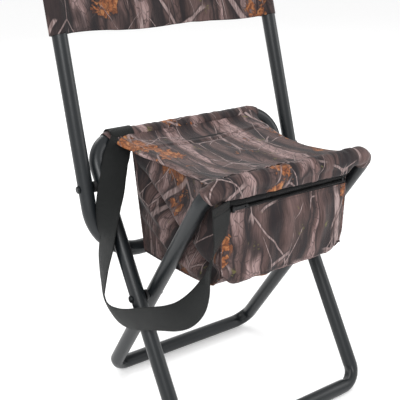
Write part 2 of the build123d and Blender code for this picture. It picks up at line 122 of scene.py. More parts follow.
# ---------------------------------------------------------------------------------------------
# Camera, floor and light
# ---------------------------------------------------------------------------------------------
def add_camera():
    """The view from in front, to the sitter's right, and a little above the seat."""
    turn = math.radians(-35.16)
    rise = math.radians(22.29)
    roll = math.radians(0.64)
    back = Vector((math.sin(turn) * math.cos(rise), -math.cos(turn) * math.cos(rise), math.sin(rise)))
    right = Vector((math.cos(turn), math.sin(turn), 0))
    up = back.cross(right)
    tilted_right = right * math.cos(roll) + up * math.sin(roll)
    tilted_up = up * math.cos(roll) - right * math.sin(roll)
    camera = bpy.data.objects.new("camera", bpy.data.cameras.new("camera"))
    rotation = Matrix((tilted_right, tilted_up, back)).transposed()
    camera.matrix_world = Matrix.Translation((-0.6438, MID_Y - 0.8166, 0.7292)) @ rotation.to_4x4()
    camera.data.lens = 68.23
    camera.data.sensor_width = 36
    camera.data.shift_x = 0.0145
    camera.data.shift_y = 0.0212
    bpy.context.scene.collection.objects.link(camera)
    bpy.context.scene.camera = camera


def add_light(name, place, target, energy, size):
    """A rectangular area light, aimed at target."""
    lamp = bpy.data.lights.new(name, "AREA")
    lamp.energy = energy
    lamp.shape = "RECTANGLE"
    lamp.size, lamp.size_y = size
    holder = bpy.data.objects.new(name, lamp)
    holder.location = place
    holder.rotation_euler = (Vector(target) - Vector(place)).to_track_quat("-Z", "Y").to_euler()
    bpy.context.scene.collection.objects.link(holder)


def add_studio():
    """A plain pale floor, a white surround and three large soft lights."""
    floor = bpy.data.meshes.new("floor")
    reach = 12.0
    floor.from_pydata([(-reach, -reach, 0), (reach, -reach, 0), (reach, reach, 0), (-reach, reach, 0)], [],
                      [(0, 1, 2, 3)])
    holder = bpy.data.objects.new("floor", floor)
    bpy.context.scene.collection.objects.link(holder)
    paint = bpy.data.materials.new("floor_paint")
    paint.use_nodes = True
    shader = paint.node_tree.nodes["Principled BSDF"]
    shader.inputs["Base Color"].default_value = (0.9, 0.9, 0.9, 1)
    shader.inputs["Roughness"].default_value = 0.9
    shader.inputs["Specular IOR Level"].default_value = 0.1
    shader.inputs["Emission Color"].default_value = (1.0, 1.0, 1.0, 1)
    shader.inputs["Emission Strength"].default_value = 0.22
    floor.materials.append(paint)
    world = bpy.data.worlds.new("studio")
    world.use_nodes = True
    world.node_tree.nodes["Background"].inputs["Color"].default_value = (1.0, 1.0, 1.0, 1)
    world.node_tree.nodes["Background"].inputs["Strength"].default_value = 0.80
    bpy.context.scene.world = world
    add_light("key_light", (-1.6, -1.5, 2.0), (0, 0, 0.35), 38, (1.2, 1.2))
    add_light("fill_light", (1.9, -1.0, 1.4), (0, 0, 0.35), 16, (1.2, 1.6))
    add_light("back_light", (0.2, 2.0, 1.8), (0, 0, 0.4), 22, (1.8, 0.9))
    bpy.context.scene.view_settings.view_transform = "Standard"


# ---------------------------------------------------------------------------------------------
# Shader helpers
# ---------------------------------------------------------------------------------------------
class Paint:
    """A material being wired: each method adds one node and returns its output."""

    def __init__(self, name):
        self.material = bpy.data.materials.new(name)
        self.material.use_nodes = True
        self.tree = self.material.node_tree
        self.shader = self.tree.nodes["Principled BSDF"]

    def put(self, socket, value):
        if isinstance(value, bpy.types.NodeSocket):
            self.tree.links.new(value, socket)
        elif isinstance(value, (tuple, list)) and len(value) == 3 and socket.type == "RGBA":
            socket.default_value = (*value, 1)
        else:
            socket.default_value = value

    def add(self, kind, output, inputs, **settings):
        """Adds a shader node, fills its inputs by name or number, and returns one of its outputs."""
        node = self.tree.nodes.new("ShaderNode" + kind)
        for name, value in settings.items():
            setattr(node, name, value)
        for name, value in inputs.items():
            self.put(node.inputs[name], value)
        return node.outputs[output]

    def uv(self, shift=(0, 0, 0)):
        return self.mapped(self.add("UVMap", "UV", {}, uv_map="cut"), shift)

    def place(self, scale=(1, 1, 1)):
        return self.mapped(self.add("TexCoord", "Object", {}), scale=scale)

    def mapped(self, vector, shift=(0, 0, 0), turn=0.0, scale=(1, 1, 1)):
        return self.add("Mapping", "Vector", {
            "Vector": vector, "Location": shift, "Rotation": (0, 0, turn), "Scale": scale})

    def noise(self, vector, scale, detail=3.0, rough=0.5, output="Fac"):
        return self.add("TexNoise", output, {
            "Vector": vector, "Scale": scale, "Detail": detail, "Roughness": rough})

    def cells(self, vector, scale, feature):
        return self.add("TexVoronoi", "Distance", {"Vector": vector, "Scale": scale}, feature=feature)

    def wave(self, vector, scale, direction="X"):
        return self.add("TexWave", "Fac", {"Vector": vector, "Scale": scale}, bands_direction=direction)

    def math(self, kind, a, b):
        return self.add("Math", "Value", {0: a, 1: b}, operation=kind)

    def times(self, a, b):
        return self.math("MULTIPLY", a, b)

    def plus(self, a, b):
        return self.math("ADD", a, b)

    def step(self, value, low, high):
        """0 below low, 1 above high, smooth between; low may be above high."""
        return self.add("MapRange", "Result", {"Value": value, "From Min": low, "From Max": high},
                        interpolation_type="SMOOTHSTEP")

    def ramp(self, value, stops):
        node = self.tree.nodes.new("ShaderNodeValToRGB")
        self.put(node.inputs["Fac"], value)
        band = node.color_ramp
        while len(band.elements) < len(stops):
            band.elements.new(0.5)
        for element, (position, color) in zip(band.elements, stops):
            element.position = position
            element.color = (*color, 1)
        return node.outputs["Color"]

    def mix(self, share, a, b, kind="MIX"):
        return self.add("Mix", 2, {0: share, 6: a, 7: b}, data_type="RGBA", blend_type=kind)

    def warp(self, vector, amount, scale):
        """The coordinates, pushed about by a soft noise."""
        push = self.noise(vector, scale, 2.0, output="Color")
        return self.add("VectorMath", "Vector", {0: push, 1: (amount, amount, 0), 2: vector},
                        operation="MULTIPLY_ADD")

    def bump(self, height, strength, distance, before=None):
        inputs = {"Height": height, "Strength": strength, "Distance": distance}
        if before is not None:
            inputs["Normal"] = before
        return self.add("Bump", "Normal", inputs)

    def done(self, color=None, rough=None, normal=None, metal=0.0, **fixed):
        if color is not None:
            self.put(self.shader.inputs["Base Color"], color)
        if rough is not None:
            self.put(self.shader.inputs["Roughness"], rough)
        if normal is not None:
            self.put(self.shader.inputs["Normal"], normal)
        self.shader.inputs["Metallic"].default_value = metal
        for name, value in fixed.items():
            self.shader.inputs[name.replace("_", " ")].default_value = value
        return self.material


# ---------------------------------------------------------------------------------------------
# Materials
# ---------------------------------------------------------------------------------------------
BARK_BLACK = (0.012, 0.0085, 0.0105)
BARK_DARK = (0.021, 0.0125, 0.0135)
BARK_BROWN = (0.060, 0.036, 0.033)
BARK_MID = (0.145, 0.088, 0.082)
BARK_LIGHT = (0.375, 0.262, 0.252)
BRANCH = (0.48, 0.370, 0.355)
RUST_DARK = (0.085, 0.026, 0.012)
RUST = (0.30, 0.098, 0.032)
TAN = (0.44, 0.21, 0.085)
OLIVE = (0.150, 0.135, 0.040)


def trunk_tone(p, flat, turn, scale, sway):
    """Tree trunks side by side: 0 at a trunk's shaded edges and 1 along its lit middle."""
    place = p.add("TexWave", "Fac", {
        "Vector": p.mapped(flat, turn=turn, scale=(1.0, 0.22, 1.0)), "Scale": scale, "Distortion": sway,
        "Detail": 3.0, "Detail Scale": 1.6, "Detail Roughness": 0.55,
    }, bands_direction="X", wave_profile="SAW")
    lit = p.step(place, 0.0, 0.30)
    shaded = p.step(place, 1.0, 0.55)
    return p.times(lit, p.plus(p.times(shaded, 0.75), 0.25))


def print_cloth(name, shift, painted_shade=1.0, rust_level=0.585):
    """Woven polyester printed with tree trunks, twigs and dead leaves; the trunks run along V. A factor
    below 1 paints shade over the whole print.
    """
    p = Paint(name)
    flat = p.uv(shift)
    soft = p.warp(flat, 0.016, 22.0)
    # bark grain: long fibres at three widths
    fibres = p.noise(p.mapped(soft, scale=(1.0, 0.075, 1.0)), 420.0, 6.0, 0.72)
    ridges = p.noise(p.mapped(soft, scale=(1.0, 0.12, 1.0)), 130.0, 4.0, 0.66)
    patches = p.noise(p.mapped(flat, (2.7, 0.9, 0), scale=(1.0, 0.45, 1.0)), 30.0, 5.0, 0.62)
    grain = p.plus(p.times(fibres, 0.42), p.times(ridges, 0.36))
    grain = p.plus(grain, p.times(patches, 0.22))
    trunk = trunk_tone(p, flat, 0.06, 6.4, 7.0)
    tone = p.plus(p.times(grain, 0.78), p.times(trunk, 0.22))
    dark_bark = p.ramp(tone, [(0.37, BARK_BLACK), (0.46, BARK_DARK), (0.56, BARK_BROWN), (0.68, BARK_MID)])
    pale_bark = p.ramp(tone, [(0.36, BARK_DARK), (0.45, BARK_BROWN), (0.55, BARK_MID), (0.66, BARK_LIGHT)])
    kind = p.noise(p.mapped(soft, (4.4, 8.1, 0), scale=(1.0, 0.20, 1.0)), 19.0, 2.0, 0.5)
    pale = p.step(kind, 0.505, 0.540)
    color = p.mix(pale, dark_bark, pale_bark)
    # a dark rim where a pale trunk ends
    rim = p.times(p.step(kind, 0.483, 0.503), p.step(kind, 0.527, 0.505))
    color = p.mix(p.times(rim, 0.75), color, BARK_BLACK)
    # plates and cracks in the pale bark
    plates = p.cells(p.mapped(soft, turn=0.25, scale=(1.0, 0.38, 1.0)), 175.0, "DISTANCE_TO_EDGE")
    cracks = p.times(p.step(plates, 0.085, 0.015), pale)
    color = p.mix(p.times(cracks, 0.62), color, BARK_DARK)
    # deep shade behind the trunks
    gaps = p.step(p.noise(p.mapped(soft, (3.1, 1.7, 0), scale=(1.0, 0.32, 1.0)), 16.0, 3.0), 0.56, 0.63)
    color = p.mix(p.times(gaps, 0.80), color, BARK_BLACK)
    # olive lichen
    lichen = p.step(p.noise(p.mapped(flat, (5.3, 2.9, 0)), 30.0, 6.0, 0.7), 0.615, 0.66)
    color = p.mix(p.times(lichen, 0.6), color, OLIVE)
    # dead leaves in ragged clusters, with veins and a shadow round them
    leaf_place = p.warp(p.mapped(flat, (1.9, 4.3, 0)), 0.020, 75.0)
    cluster = p.noise(p.mapped(leaf_place, scale=(1.0, 0.85, 1.0)), 13.0, 5.0, 0.66)
    near = p.step(cluster, rust_level - 0.035, rust_level)
    color = p.mix(p.times(near, 0.6), color, BARK_BLACK)
    leaf_mask = p.step(cluster, rust_level, rust_level + 0.022)
    veins = p.cells(p.mapped(leaf_place, turn=0.7, scale=(1.0, 0.5, 1.0)), 95.0, "DISTANCE_TO_EDGE")
    mottle = p.noise(leaf_place, 160.0, 5.0, 0.7)
    leaf = p.ramp(mottle, [(0.36, RUST_DARK), (0.50, RUST), (0.64, TAN)])
    leaf = p.mix(p.times(p.step(veins, 0.11, 0.02), 0.7), leaf, RUST_DARK)
    color = p.mix(leaf_mask, color, leaf)
    # limbs and twigs: straight runs that fork, each with a lit side and a shadow
    for turn, size, width, place, strength in TWIGS:
        bent = p.warp(p.mapped(flat, (place, place * 0.37, 0), turn, (1.0, 0.55, 1.0)), 0.010, 26.0)
        edge = p.cells(bent, size, "DISTANCE_TO_EDGE")
        broken = p.step(p.noise(p.mapped(flat, (place * 0.7, place, 0)), 11.0, 2.0), 0.46, 0.52)
        shadow = p.times(p.step(edge, width * 2.1, width), broken)
        color = p.mix(p.times(shadow, 0.55), color, BARK_BLACK)
        twig = p.times(p.step(edge, width, width * 0.55), broken)
        bark = p.mix(p.step(fibres, 0.36, 0.62), BARK_MID, BRANCH)
        color = p.mix(p.times(twig, strength), color, bark)
    # painted shade: the whole print is darkened by this factor for the pieces that face away from the light
    color = p.mix(1.0, color, (painted_shade, painted_shade, painted_shade), "MULTIPLY")
    # fine weave, slubs and a little wear
    weave = p.times(p.wave(flat, 620.0, "X"), p.wave(flat, 620.0, "Y"))
    slub = p.noise(flat, 1100.0, 2.0)
    color = p.mix(p.times(slub, 0.20), color, (0.42, 0.38, 0.36), "SOFT_LIGHT")
    normal = p.bump(weave, 0.22, 0.0004)
    normal = p.bump(p.noise(flat, 70.0, 4.0, 0.6), 0.30, 0.0012, normal)
    rough = p.plus(p.times(slub, 0.16), 0.62)
    return p.done(color, rough, normal, Sheen_Weight=0.06, Sheen_Roughness=0.5, Specular_IOR_Level=0.28)


# direction, cells a metre, half width as a share of a cell, place, strength
TWIGS = (
    (0.35, 7.0, 0.017, 2.2, 0.80),
    (-0.60, 13.0, 0.011, 6.1, 0.70),
    (1.15, 19.0, 0.010, 9.4, 0.65),
)


def backing_cloth():
    """The black coated reverse of the printed cloth."""
    p = Paint("cloth_reverse")
    flat = p.uv()
    weave = p.times(p.wave(flat, 420.0, "X"), p.wave(flat, 420.0, "Y"))
    color = p.mix(p.noise(flat, 40.0, 4.0), (0.006, 0.006, 0.0065), (0.016, 0.0155, 0.016))
    return p.done(color, p.plus(p.times(weave, 0.2), 0.5), p.bump(weave, 0.3, 0.0004))


def webbing():
    """Black polypropylene webbing: ribs across it and a herringbone weave."""
    p = Paint("webbing_black")
    flat = p.uv()
    ribs = p.wave(flat, 190.0, "Y")
    herring = p.wave(p.mapped(flat, turn=0.78), 330.0, "X")
    height = p.plus(p.times(ribs, 0.7), p.times(herring, 0.5))
    dust = p.noise(flat, 55.0, 5.0, 0.65)
    color = p.mix(height, (0.0003, 0.0004, 0.0004), (0.0125, 0.0145, 0.0142))
    color = p.mix(p.times(p.step(dust, 0.5, 0.75), 0.15), color, (0.014, 0.016, 0.015))
    rough = p.plus(p.times(dust, 0.2), 0.52)
    return p.done(color, rough, p.bump(height, 0.85, 0.0008), Specular_IOR_Level=0.30)


def powder_coat():
    """Charcoal powder coat with a faint orange peel, dusty highlights and rubbed spots."""
    p = Paint("powder_coat")
    place = p.place()
    peel = p.noise(place, 900.0, 3.0, 0.5)
    cloud = p.noise(place, 14.0, 4.0, 0.6)
    scuff = p.step(p.noise(p.place((1.0, 1.0, 0.25)), 160.0, 4.0, 0.7), 0.66, 0.74)
    color = p.mix(cloud, (0.0048, 0.0066, 0.0080), (0.0090, 0.0120, 0.0142))
    color = p.mix(p.times(scuff, 0.4), color, (0.040, 0.046, 0.048))
    rough = p.plus(p.times(cloud, 0.14), 0.30)
    normal = p.bump(peel, 0.18, 0.0003)
    return p.done(color, rough, normal, Coat_Weight=0.08, Coat_Roughness=0.3, Specular_IOR_Level=0.42)


def dark_metal(name, color, rough):
    """Blackened or enamelled metal with rubbed brighter spots."""
    p = Paint(name)
    place = p.place()
    rub = p.step(p.noise(place, 420.0, 4.0, 0.7), 0.55, 0.70)
    bright = tuple(channel * 3.0 + 0.02 for channel in color)
    tint = p.mix(p.times(rub, 0.6), color, bright)
    grit = p.noise(place, 1500.0, 2.0)
    return p.done(tint, p.plus(p.times(rub, 0.12), rough), p.bump(grit, 0.2, 0.0002), 0.6)


def moulded(name, color):
    """Matt moulded plastic with a fine sparkle of texture."""
    p = Paint(name)
    place = p.place()
    grain = p.noise(place, 1300.0, 2.0)
    cloud = p.noise(place, 60.0, 3.0)
    lighter = tuple(channel * 1.8 + 0.002 for channel in color)
    return p.done(p.mix(cloud, color, lighter), p.plus(p.times(grain, 0.2), 0.42),
                  p.bump(grain, 0.25, 0.0003))


def zip_tape_cloth():
    """Black knitted zip tape with its lengthwise ribs."""
    p = Paint("zip_tape_black")
    flat = p.uv()
    ribs = p.wave(flat, 620.0, "Y")
    purl = p.wave(flat, 420.0, "X")
    height = p.plus(p.times(ribs, 0.6), p.times(purl, 0.4))
    color = p.mix(height, (0.0030, 0.0030, 0.0034), (0.011, 0.011, 0.012))
    return p.done(color, 0.7, p.bump(height, 0.5, 0.0004), Specular_IOR_Level=0.25)


def thread_paint():
    """Brown-black sewing thread, twisted."""
    p = Paint("sewing_thread")
    twist = p.noise(p.place(), 1800.0, 2.0)
    color = p.mix(twist, (0.012, 0.009, 0.009), (0.050, 0.038, 0.035))
    return p.done(color, 0.6, p.bump(twist, 0.3, 0.0002))


def bare_steel():
    p = Paint("bare_steel")
    drawn = p.noise(p.place((0.05, 1, 1)), 900.0, 3.0)
    return p.done(p.mix(drawn, (0.30, 0.30, 0.29), (0.50, 0.50, 0.49)), p.plus(drawn, -0.1), None, 1.0)


# ---------------------------------------------------------------------------------------------
# Mesh helpers
# ---------------------------------------------------------------------------------------------
def shade_smooth(mesh):
    mesh.polygons.foreach_set("use_smooth", [True] * len(mesh.polygons))


def add_piece(name, mesh, materials, body):
    """A new object of that mesh, painted, riding on a CAD body."""
    piece = bpy.data.objects.new(name, mesh)
    bpy.context.scene.collection.objects.link(piece)
    for material in materials:
        mesh.materials.append(material)
    shade_smooth(mesh)
    if body:
        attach(piece, body)
    return piece


def grid_mesh(name, points, cut, wrap=False):
    """A mesh of quads over rows and columns of points; cut holds each point's place on the flat cloth."""
    rows, columns = points.shape[:2]
    mesh = bpy.data.meshes.new(name)
    index = np.arange(rows * columns).reshape(rows, columns)
    span = columns if wrap else columns - 1
    quads = []
    places = []
    for i in range(rows - 1):
        for j in range(span):
            k = (j + 1) % columns
            quads.append((index[i, j], index[i, k], index[i + 1, k], index[i + 1, j]))
            right = j + 1
            places += [cut[i, j], cut[i, right], cut[i + 1, right], cut[i + 1, j]]
    mesh.from_pydata(points.reshape(-1, 3).tolist(), [], [tuple(int(v) for v in quad) for quad in quads])
    layer = mesh.uv_layers.new(name="cut")
    layer.data.foreach_set("uv", np.array(places, float).ravel())
    mesh.update()
    return mesh


def apply_modifiers(piece):
    """Bakes the piece's modifiers into its mesh."""
    graph = bpy.context.evaluated_depsgraph_get()
    mesh = bpy.data.meshes.new_from_object(piece.evaluated_get(graph), preserve_all_data_layers=True,
                                           depsgraph=graph)
    old = piece.data
    piece.modifiers.clear()
    piece.data = mesh
    mesh.name = old.name
    bpy.data.meshes.remove(old)


def thicken(piece, thickness, offset, reverse=True):
    """Gives a sheet its thickness; its reverse takes the second material."""
    solid = piece.modifiers.new("thickness", "SOLIDIFY")
    solid.thickness = thickness
    solid.offset = offset
    solid.use_even_offset = False
    if reverse:
        solid.material_offset = 1
    apply_modifiers(piece)
    shade_smooth(piece.data)


def faces_away(mesh, toward):
    """Turns the mesh's faces so that on the whole they face along toward, or outward if it is None."""
    normals = np.zeros(len(mesh.polygons) * 3)
    centres = np.zeros(len(mesh.polygons) * 3)
    areas = np.zeros(len(mesh.polygons))
    mesh.polygons.foreach_get("normal", normals)
    mesh.polygons.foreach_get("center", centres)
    mesh.polygons.foreach_get("area", areas)
    normals = normals.reshape(-1, 3)
    centres = centres.reshape(-1, 3)
    if toward is None:
        share = np.sum(normals * (centres - centres.mean(axis=0)) * areas[:, None] * (0, 1, 1))
    else:
        share = np.sum(normals * areas[:, None] * np.array(toward, float))
    if share < 0:
        mesh.flip_normals()


def cloth_piece(name, points, cut, print_material, body, toward, wrap=False, thickness=CLOTH, offset=-1.0):
    """A printed cloth sheet with a black reverse, on a grid of points, its print facing toward."""
    mesh = grid_mesh(name, points, cut, wrap)
    faces_away(mesh, toward)
    piece = add_piece(name, mesh, [print_material, REVERSE], None)
    thicken(piece, thickness, offset)
    if body:
        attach(piece, body)
    return piece


def soft_noise(shape, cell, amount, seed):
    """Smooth random height over a grid, with about one hump every cell samples."""
    source = np.random.default_rng(seed)
    coarse = (max(2, int(shape[0] / cell[0]) + 2), max(2, int(shape[1] / cell[1]) + 2))
    knots = source.standard_normal(coarse)
    rows = np.linspace(0, coarse[0] - 1.001, shape[0])
    columns = np.linspace(0, coarse[1] - 1.001, shape[1])
    i = rows.astype(int)
    j = columns.astype(int)
    a = (rows - i)[:, None]
    b = (columns - j)[None, :]
    a = a * a * (3 - 2 * a)
    b = b * b * (3 - 2 * b)
    low = knots[np.ix_(i, j)] * (1 - b) + knots[np.ix_(i, j + 1)] * b
    high = knots[np.ix_(i + 1, j)] * (1 - b) + knots[np.ix_(i + 1, j + 1)] * b
    return amount * (low * (1 - a) + high * a)


def smooth_step(value, low, high):
    share = np.clip((value - low) / (high - low), 0, 1)
    return share * share * (3 - 2 * share)


def grid_normals(points):
    """Unit normals of a grid of points."""
    along = np.gradient(points, axis=0)
    across = np.gradient(points, axis=1)
    normal = np.cross(across, along)
    return normal / np.maximum(np.linalg.norm(normal, axis=2, keepdims=True), 1e-9)


def unit(vectors):
    """The vectors at length 1, over the last axis."""
    return vectors / np.linalg.norm(vectors, axis=-1, keepdims=True)


def path_lengths(points):
    """The distance along a polyline to each of its points."""
    steps = np.linalg.norm(np.diff(points, axis=0), axis=1)
    return np.concatenate([[0], np.cumsum(steps)])


def resample(points, spacing):
    """Points evenly spaced along a polyline."""
    lengths = path_lengths(points)
    count = max(2, int(round(lengths[-1] / spacing)) + 1)
    wanted = np.linspace(0, lengths[-1], count)
    return np.stack([np.interp(wanted, lengths, points[:, k]) for k in range(3)], axis=1)


def add_stitches(name, lines, body, pitch=0.0034, length=0.0025, width=0.00055, blend=None):
    """Sewn stitches along lines of (points, normals): one small rounded thread for each stitch."""
    ring = 6
    verts = []
    faces = []
    for points, normals in lines:
        lengths = path_lengths(points)
        for start in np.arange(pitch / 2, lengths[-1] - length, pitch):
            stations = start + np.linspace(0, length, 4)
            place = np.stack([np.interp(stations, lengths, points[:, k]) for k in range(3)], axis=1)
            up = np.array([np.interp(start, lengths, normals[:, k]) for k in range(3)])
            up /= np.linalg.norm(up)
            along = place[-1] - place[0]
            along /= np.linalg.norm(along)
            side = np.cross(up, along)
            base = len(verts)
            for station, (lift, size) in zip(place, ((-0.3, 0.35), (0.45, 1.0), (0.45, 1.0), (-0.3, 0.35))):
                for k in range(ring):
                    angle = 2 * math.pi * k / ring
                    offset = side * math.cos(angle) * width * 0.5 * size
                    offset = offset + up * (math.sin(angle) * width * 0.4 * size + lift * width)
                    verts.append(tuple(station + offset))
            for row in range(3):
                for k in range(ring):
                    a = base + row * ring + k
                    b = base + row * ring + (k + 1) % ring
                    faces.append((a, b, b + ring, a + ring))
            faces.append(tuple(base + k for k in reversed(range(ring))))
            faces.append(tuple(base + 3 * ring + k for k in range(ring)))
    mesh = bpy.data.meshes.new(name)
    mesh.from_pydata(verts, [], faces)
    piece = add_piece(name, mesh, [THREAD], None if blend else body)
    if blend:
        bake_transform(piece)
    return piece


# ---------------------------------------------------------------------------------------------
# Frame tubes
# ---------------------------------------------------------------------------------------------
def rounded_path(corners, radii, closed, arc_steps=20, straight_step=0.012):
    """Points along straight runs joined by tangent arcs, with each point's nearness to a bend's middle.

    Returns, for each point, (the point, which corner's bend it lies on or -1, its share along that bend
    from 0 to 1).
    """
    corners = [Vector(corner) for corner in corners]
    count = len(corners)
    pieces = []
    order = range(count) if closed else range(1, count - 1)
    arcs = {}
    for i in order:
        before = (corners[i - 1] - corners[i]).normalized()
        after = (corners[(i + 1) % count] - corners[i]).normalized()
        half = before.angle(after) / 2
        reach = radii[i] / math.tan(half)
        middle = corners[i] + (before + after).normalized() * (radii[i] / math.sin(half))
        arcs[i] = (corners[i] + before * reach, corners[i] + after * reach, middle)
    for i in range(count):
        if i in arcs:
            start, end, middle = arcs[i]
            a = start - middle
            b = end - middle
            whole = a.angle(b)
            for k in range(arc_steps + 1):
                share = k / arc_steps
                turned = a * math.sin((1 - share) * whole) + b * math.sin(share * whole)
                spot = middle + turned / math.sin(whole)
                pieces.append((spot, i, share))
            run_from = end
        else:
            pieces.append((corners[i], -1, 0))
            run_from = corners[i]
        if i == count - 1 and not closed:
            break
        following = (i + 1) % count
        run_to = arcs[following][0] if following in arcs else corners[following]
        steps = max(1, int((run_to - run_from).length / straight_step))
        for k in range(1, steps):
            pieces.append((run_from.lerp(run_to, k / steps), -1, 0))
    return pieces


def tube_mesh(name, pieces, closed, inward, crushed=(), ring=40):
    """A tube along a path. Its crushed corners are flattened outside and dented on their inner side."""
    centre = np.array([tuple(point) for point, _, _ in pieces])
    count = len(centre)
    if closed:
        tangent = np.roll(centre, -1, axis=0) - np.roll(centre, 1, axis=0)
    else:
        tangent = np.gradient(centre, axis=0)
    tangent = unit(tangent)
    flat_normal = unit(np.array(inward, float))
    lengths = path_lengths(np.vstack([centre, centre[:1]]) if closed else centre)
    arc_middle = {}
    for corner in crushed:
        inside = [k for k, (_, which, _) in enumerate(pieces) if which == corner]
        arc_middle[corner] = lengths[inside[len(inside) // 2]]
    rows = np.zeros((count + (1 if closed else 0), ring, 3))
    cut = np.zeros((count + (1 if closed else 0), ring + 1, 2))
    angles = np.linspace(0, 2 * math.pi, ring, endpoint=False)
    for i in range(count):
        side = np.cross(flat_normal, tangent[i])
        radius = np.full(ring, TUBE_R)
        for corner, middle in arc_middle.items():
            off = abs(lengths[i] - middle)
            near = math.exp(-((off / 0.017) ** 2))
            dent = math.exp(-((off / 0.0125) ** 4))
            inner = np.exp(-((np.angle(np.exp(1j * angles)) / 0.85) ** 4))
            outer = np.exp(-((np.angle(np.exp(1j * (angles - math.pi))) / 0.80) ** 2))
            radius -= TUBE_R * (0.58 * dent * inner + 0.22 * near * outer)
            radius += TUBE_R * 0.05 * near * np.abs(np.sin(angles)) ** 2
            ridge = math.exp(-(((off - 0.0165) / 0.003) ** 2))
            radius -= TUBE_R * 0.10 * ridge * inner
        offset = np.cos(angles)[:, None] * side + np.sin(angles)[:, None] * flat_normal
        rows[i] = centre[i] + offset * radius[:, None]
        cut[i, :, 0] = np.linspace(0, 2 * math.pi * TUBE_R, ring + 1)
        cut[i, :, 1] = lengths[i]
    if closed:
        rows[-1] = rows[0]
        cut[-1] = cut[0]
        cut[-1, :, 1] = lengths[-1]
    return grid_mesh(name, rows, cut, wrap=True)


def tube_faces_out(mesh, pieces):
    """Turns a tube's faces away from its middle line."""
    first = mesh.polygons[0]
    if first.normal.dot(first.center - pieces[0][0]) < 0:
        mesh.flip_normals()


def weld(piece, distance=1e-6):
    """Joins points that lie on each other."""
    modifier = piece.modifiers.new("weld", "WELD")
    modifier.merge_threshold = distance
    apply_modifiers(piece)
    shade_smooth(piece.data)


def leg_corners(half, top_y, foot_y):
    return [(half, top_y, SEAT_Z), (half, foot_y, FOOT_Z), (-half, foot_y, FOOT_Z), (-half, top_y, SEAT_Z)]


def loop_normal(top_y, foot_y):
    return Vector((0, SEAT_Z - FOOT_Z, -(top_y - foot_y))).normalized()


def add_leg_tube(name, half, top_y, foot_y, top_bend, crushed, body, node):
    """One closed leg loop, with its foot corners crushed by the bender."""
    radii = [top_bend, FOOT_BEND, FOOT_BEND, top_bend]
    path = rounded_path(leg_corners(half, top_y, foot_y), radii, True)
    mesh = tube_mesh(name, path, True, loop_normal(top_y, foot_y), crushed)
    tube_faces_out(mesh, path)
    piece = add_piece(name, mesh, [COAT], None)
    weld(piece)
    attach(piece, body)
    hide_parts(node)


def back_x(height):
    return BACK_HALF - height * math.tan(BACK_TAPER)


def back_place(x, height, forward=0.0):
    """A point of the backrest: its height along the uprights, and its distance in front of them."""
    y = BACK_RIVET.y + height * math.sin(BACK_LEAN) - forward * math.cos(BACK_LEAN)
    z = BACK_RIVET.z + height * math.cos(BACK_LEAN) + forward * math.sin(BACK_LEAN)
    return Vector((x, y, z))


def add_back_tube():
    corners = [
        back_place(back_x(BACK_TOP), BACK_TOP),
        back_place(back_x(-BACK_DROP), -BACK_DROP),
        back_place(-back_x(-BACK_DROP), -BACK_DROP),
        back_place(-back_x(BACK_TOP), BACK_TOP),
    ]
    path = rounded_path(corners, [0, BACK_BEND, BACK_BEND, 0], False)
    inward = (0, math.cos(BACK_LEAN), -math.sin(BACK_LEAN))
    mesh = tube_mesh("back_tube_bent", path, False, inward)
    tube_faces_out(mesh, path)
    piece = add_piece("back_tube_bent", mesh, [COAT], "back_frame")
    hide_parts("back_tube")


# ---------------------------------------------------------------------------------------------
# Backrest cloth
# ---------------------------------------------------------------------------------------------
def pocket_outline():
    """Half of the backrest cloth's outline seen along the uprights: (distance in from the tube, depth)."""
    pocket_r = TUBE_R + 0.0011
    seam = 0.0205
    flat = COVER_PLY
    touch = math.acos(pocket_r / seam)
    arc = [(pocket_r * math.cos(a), pocket_r * math.sin(a)) for a in np.linspace(math.pi, touch, 12)]
    edge = pocket_r * 0.28
    arc = [(x - edge * smooth_step(-x, pocket_r * 0.55, pocket_r),
            d * (1 - 0.55 * smooth_step(-x, pocket_r * 0.6, pocket_r))) for x, d in arc]
    run = [(seam * s + arc[-1][0] * (1 - s), flat * s + arc[-1][1] * (1 - s))
           for s in np.linspace(0.12, 1, 8)]
    return arc + run


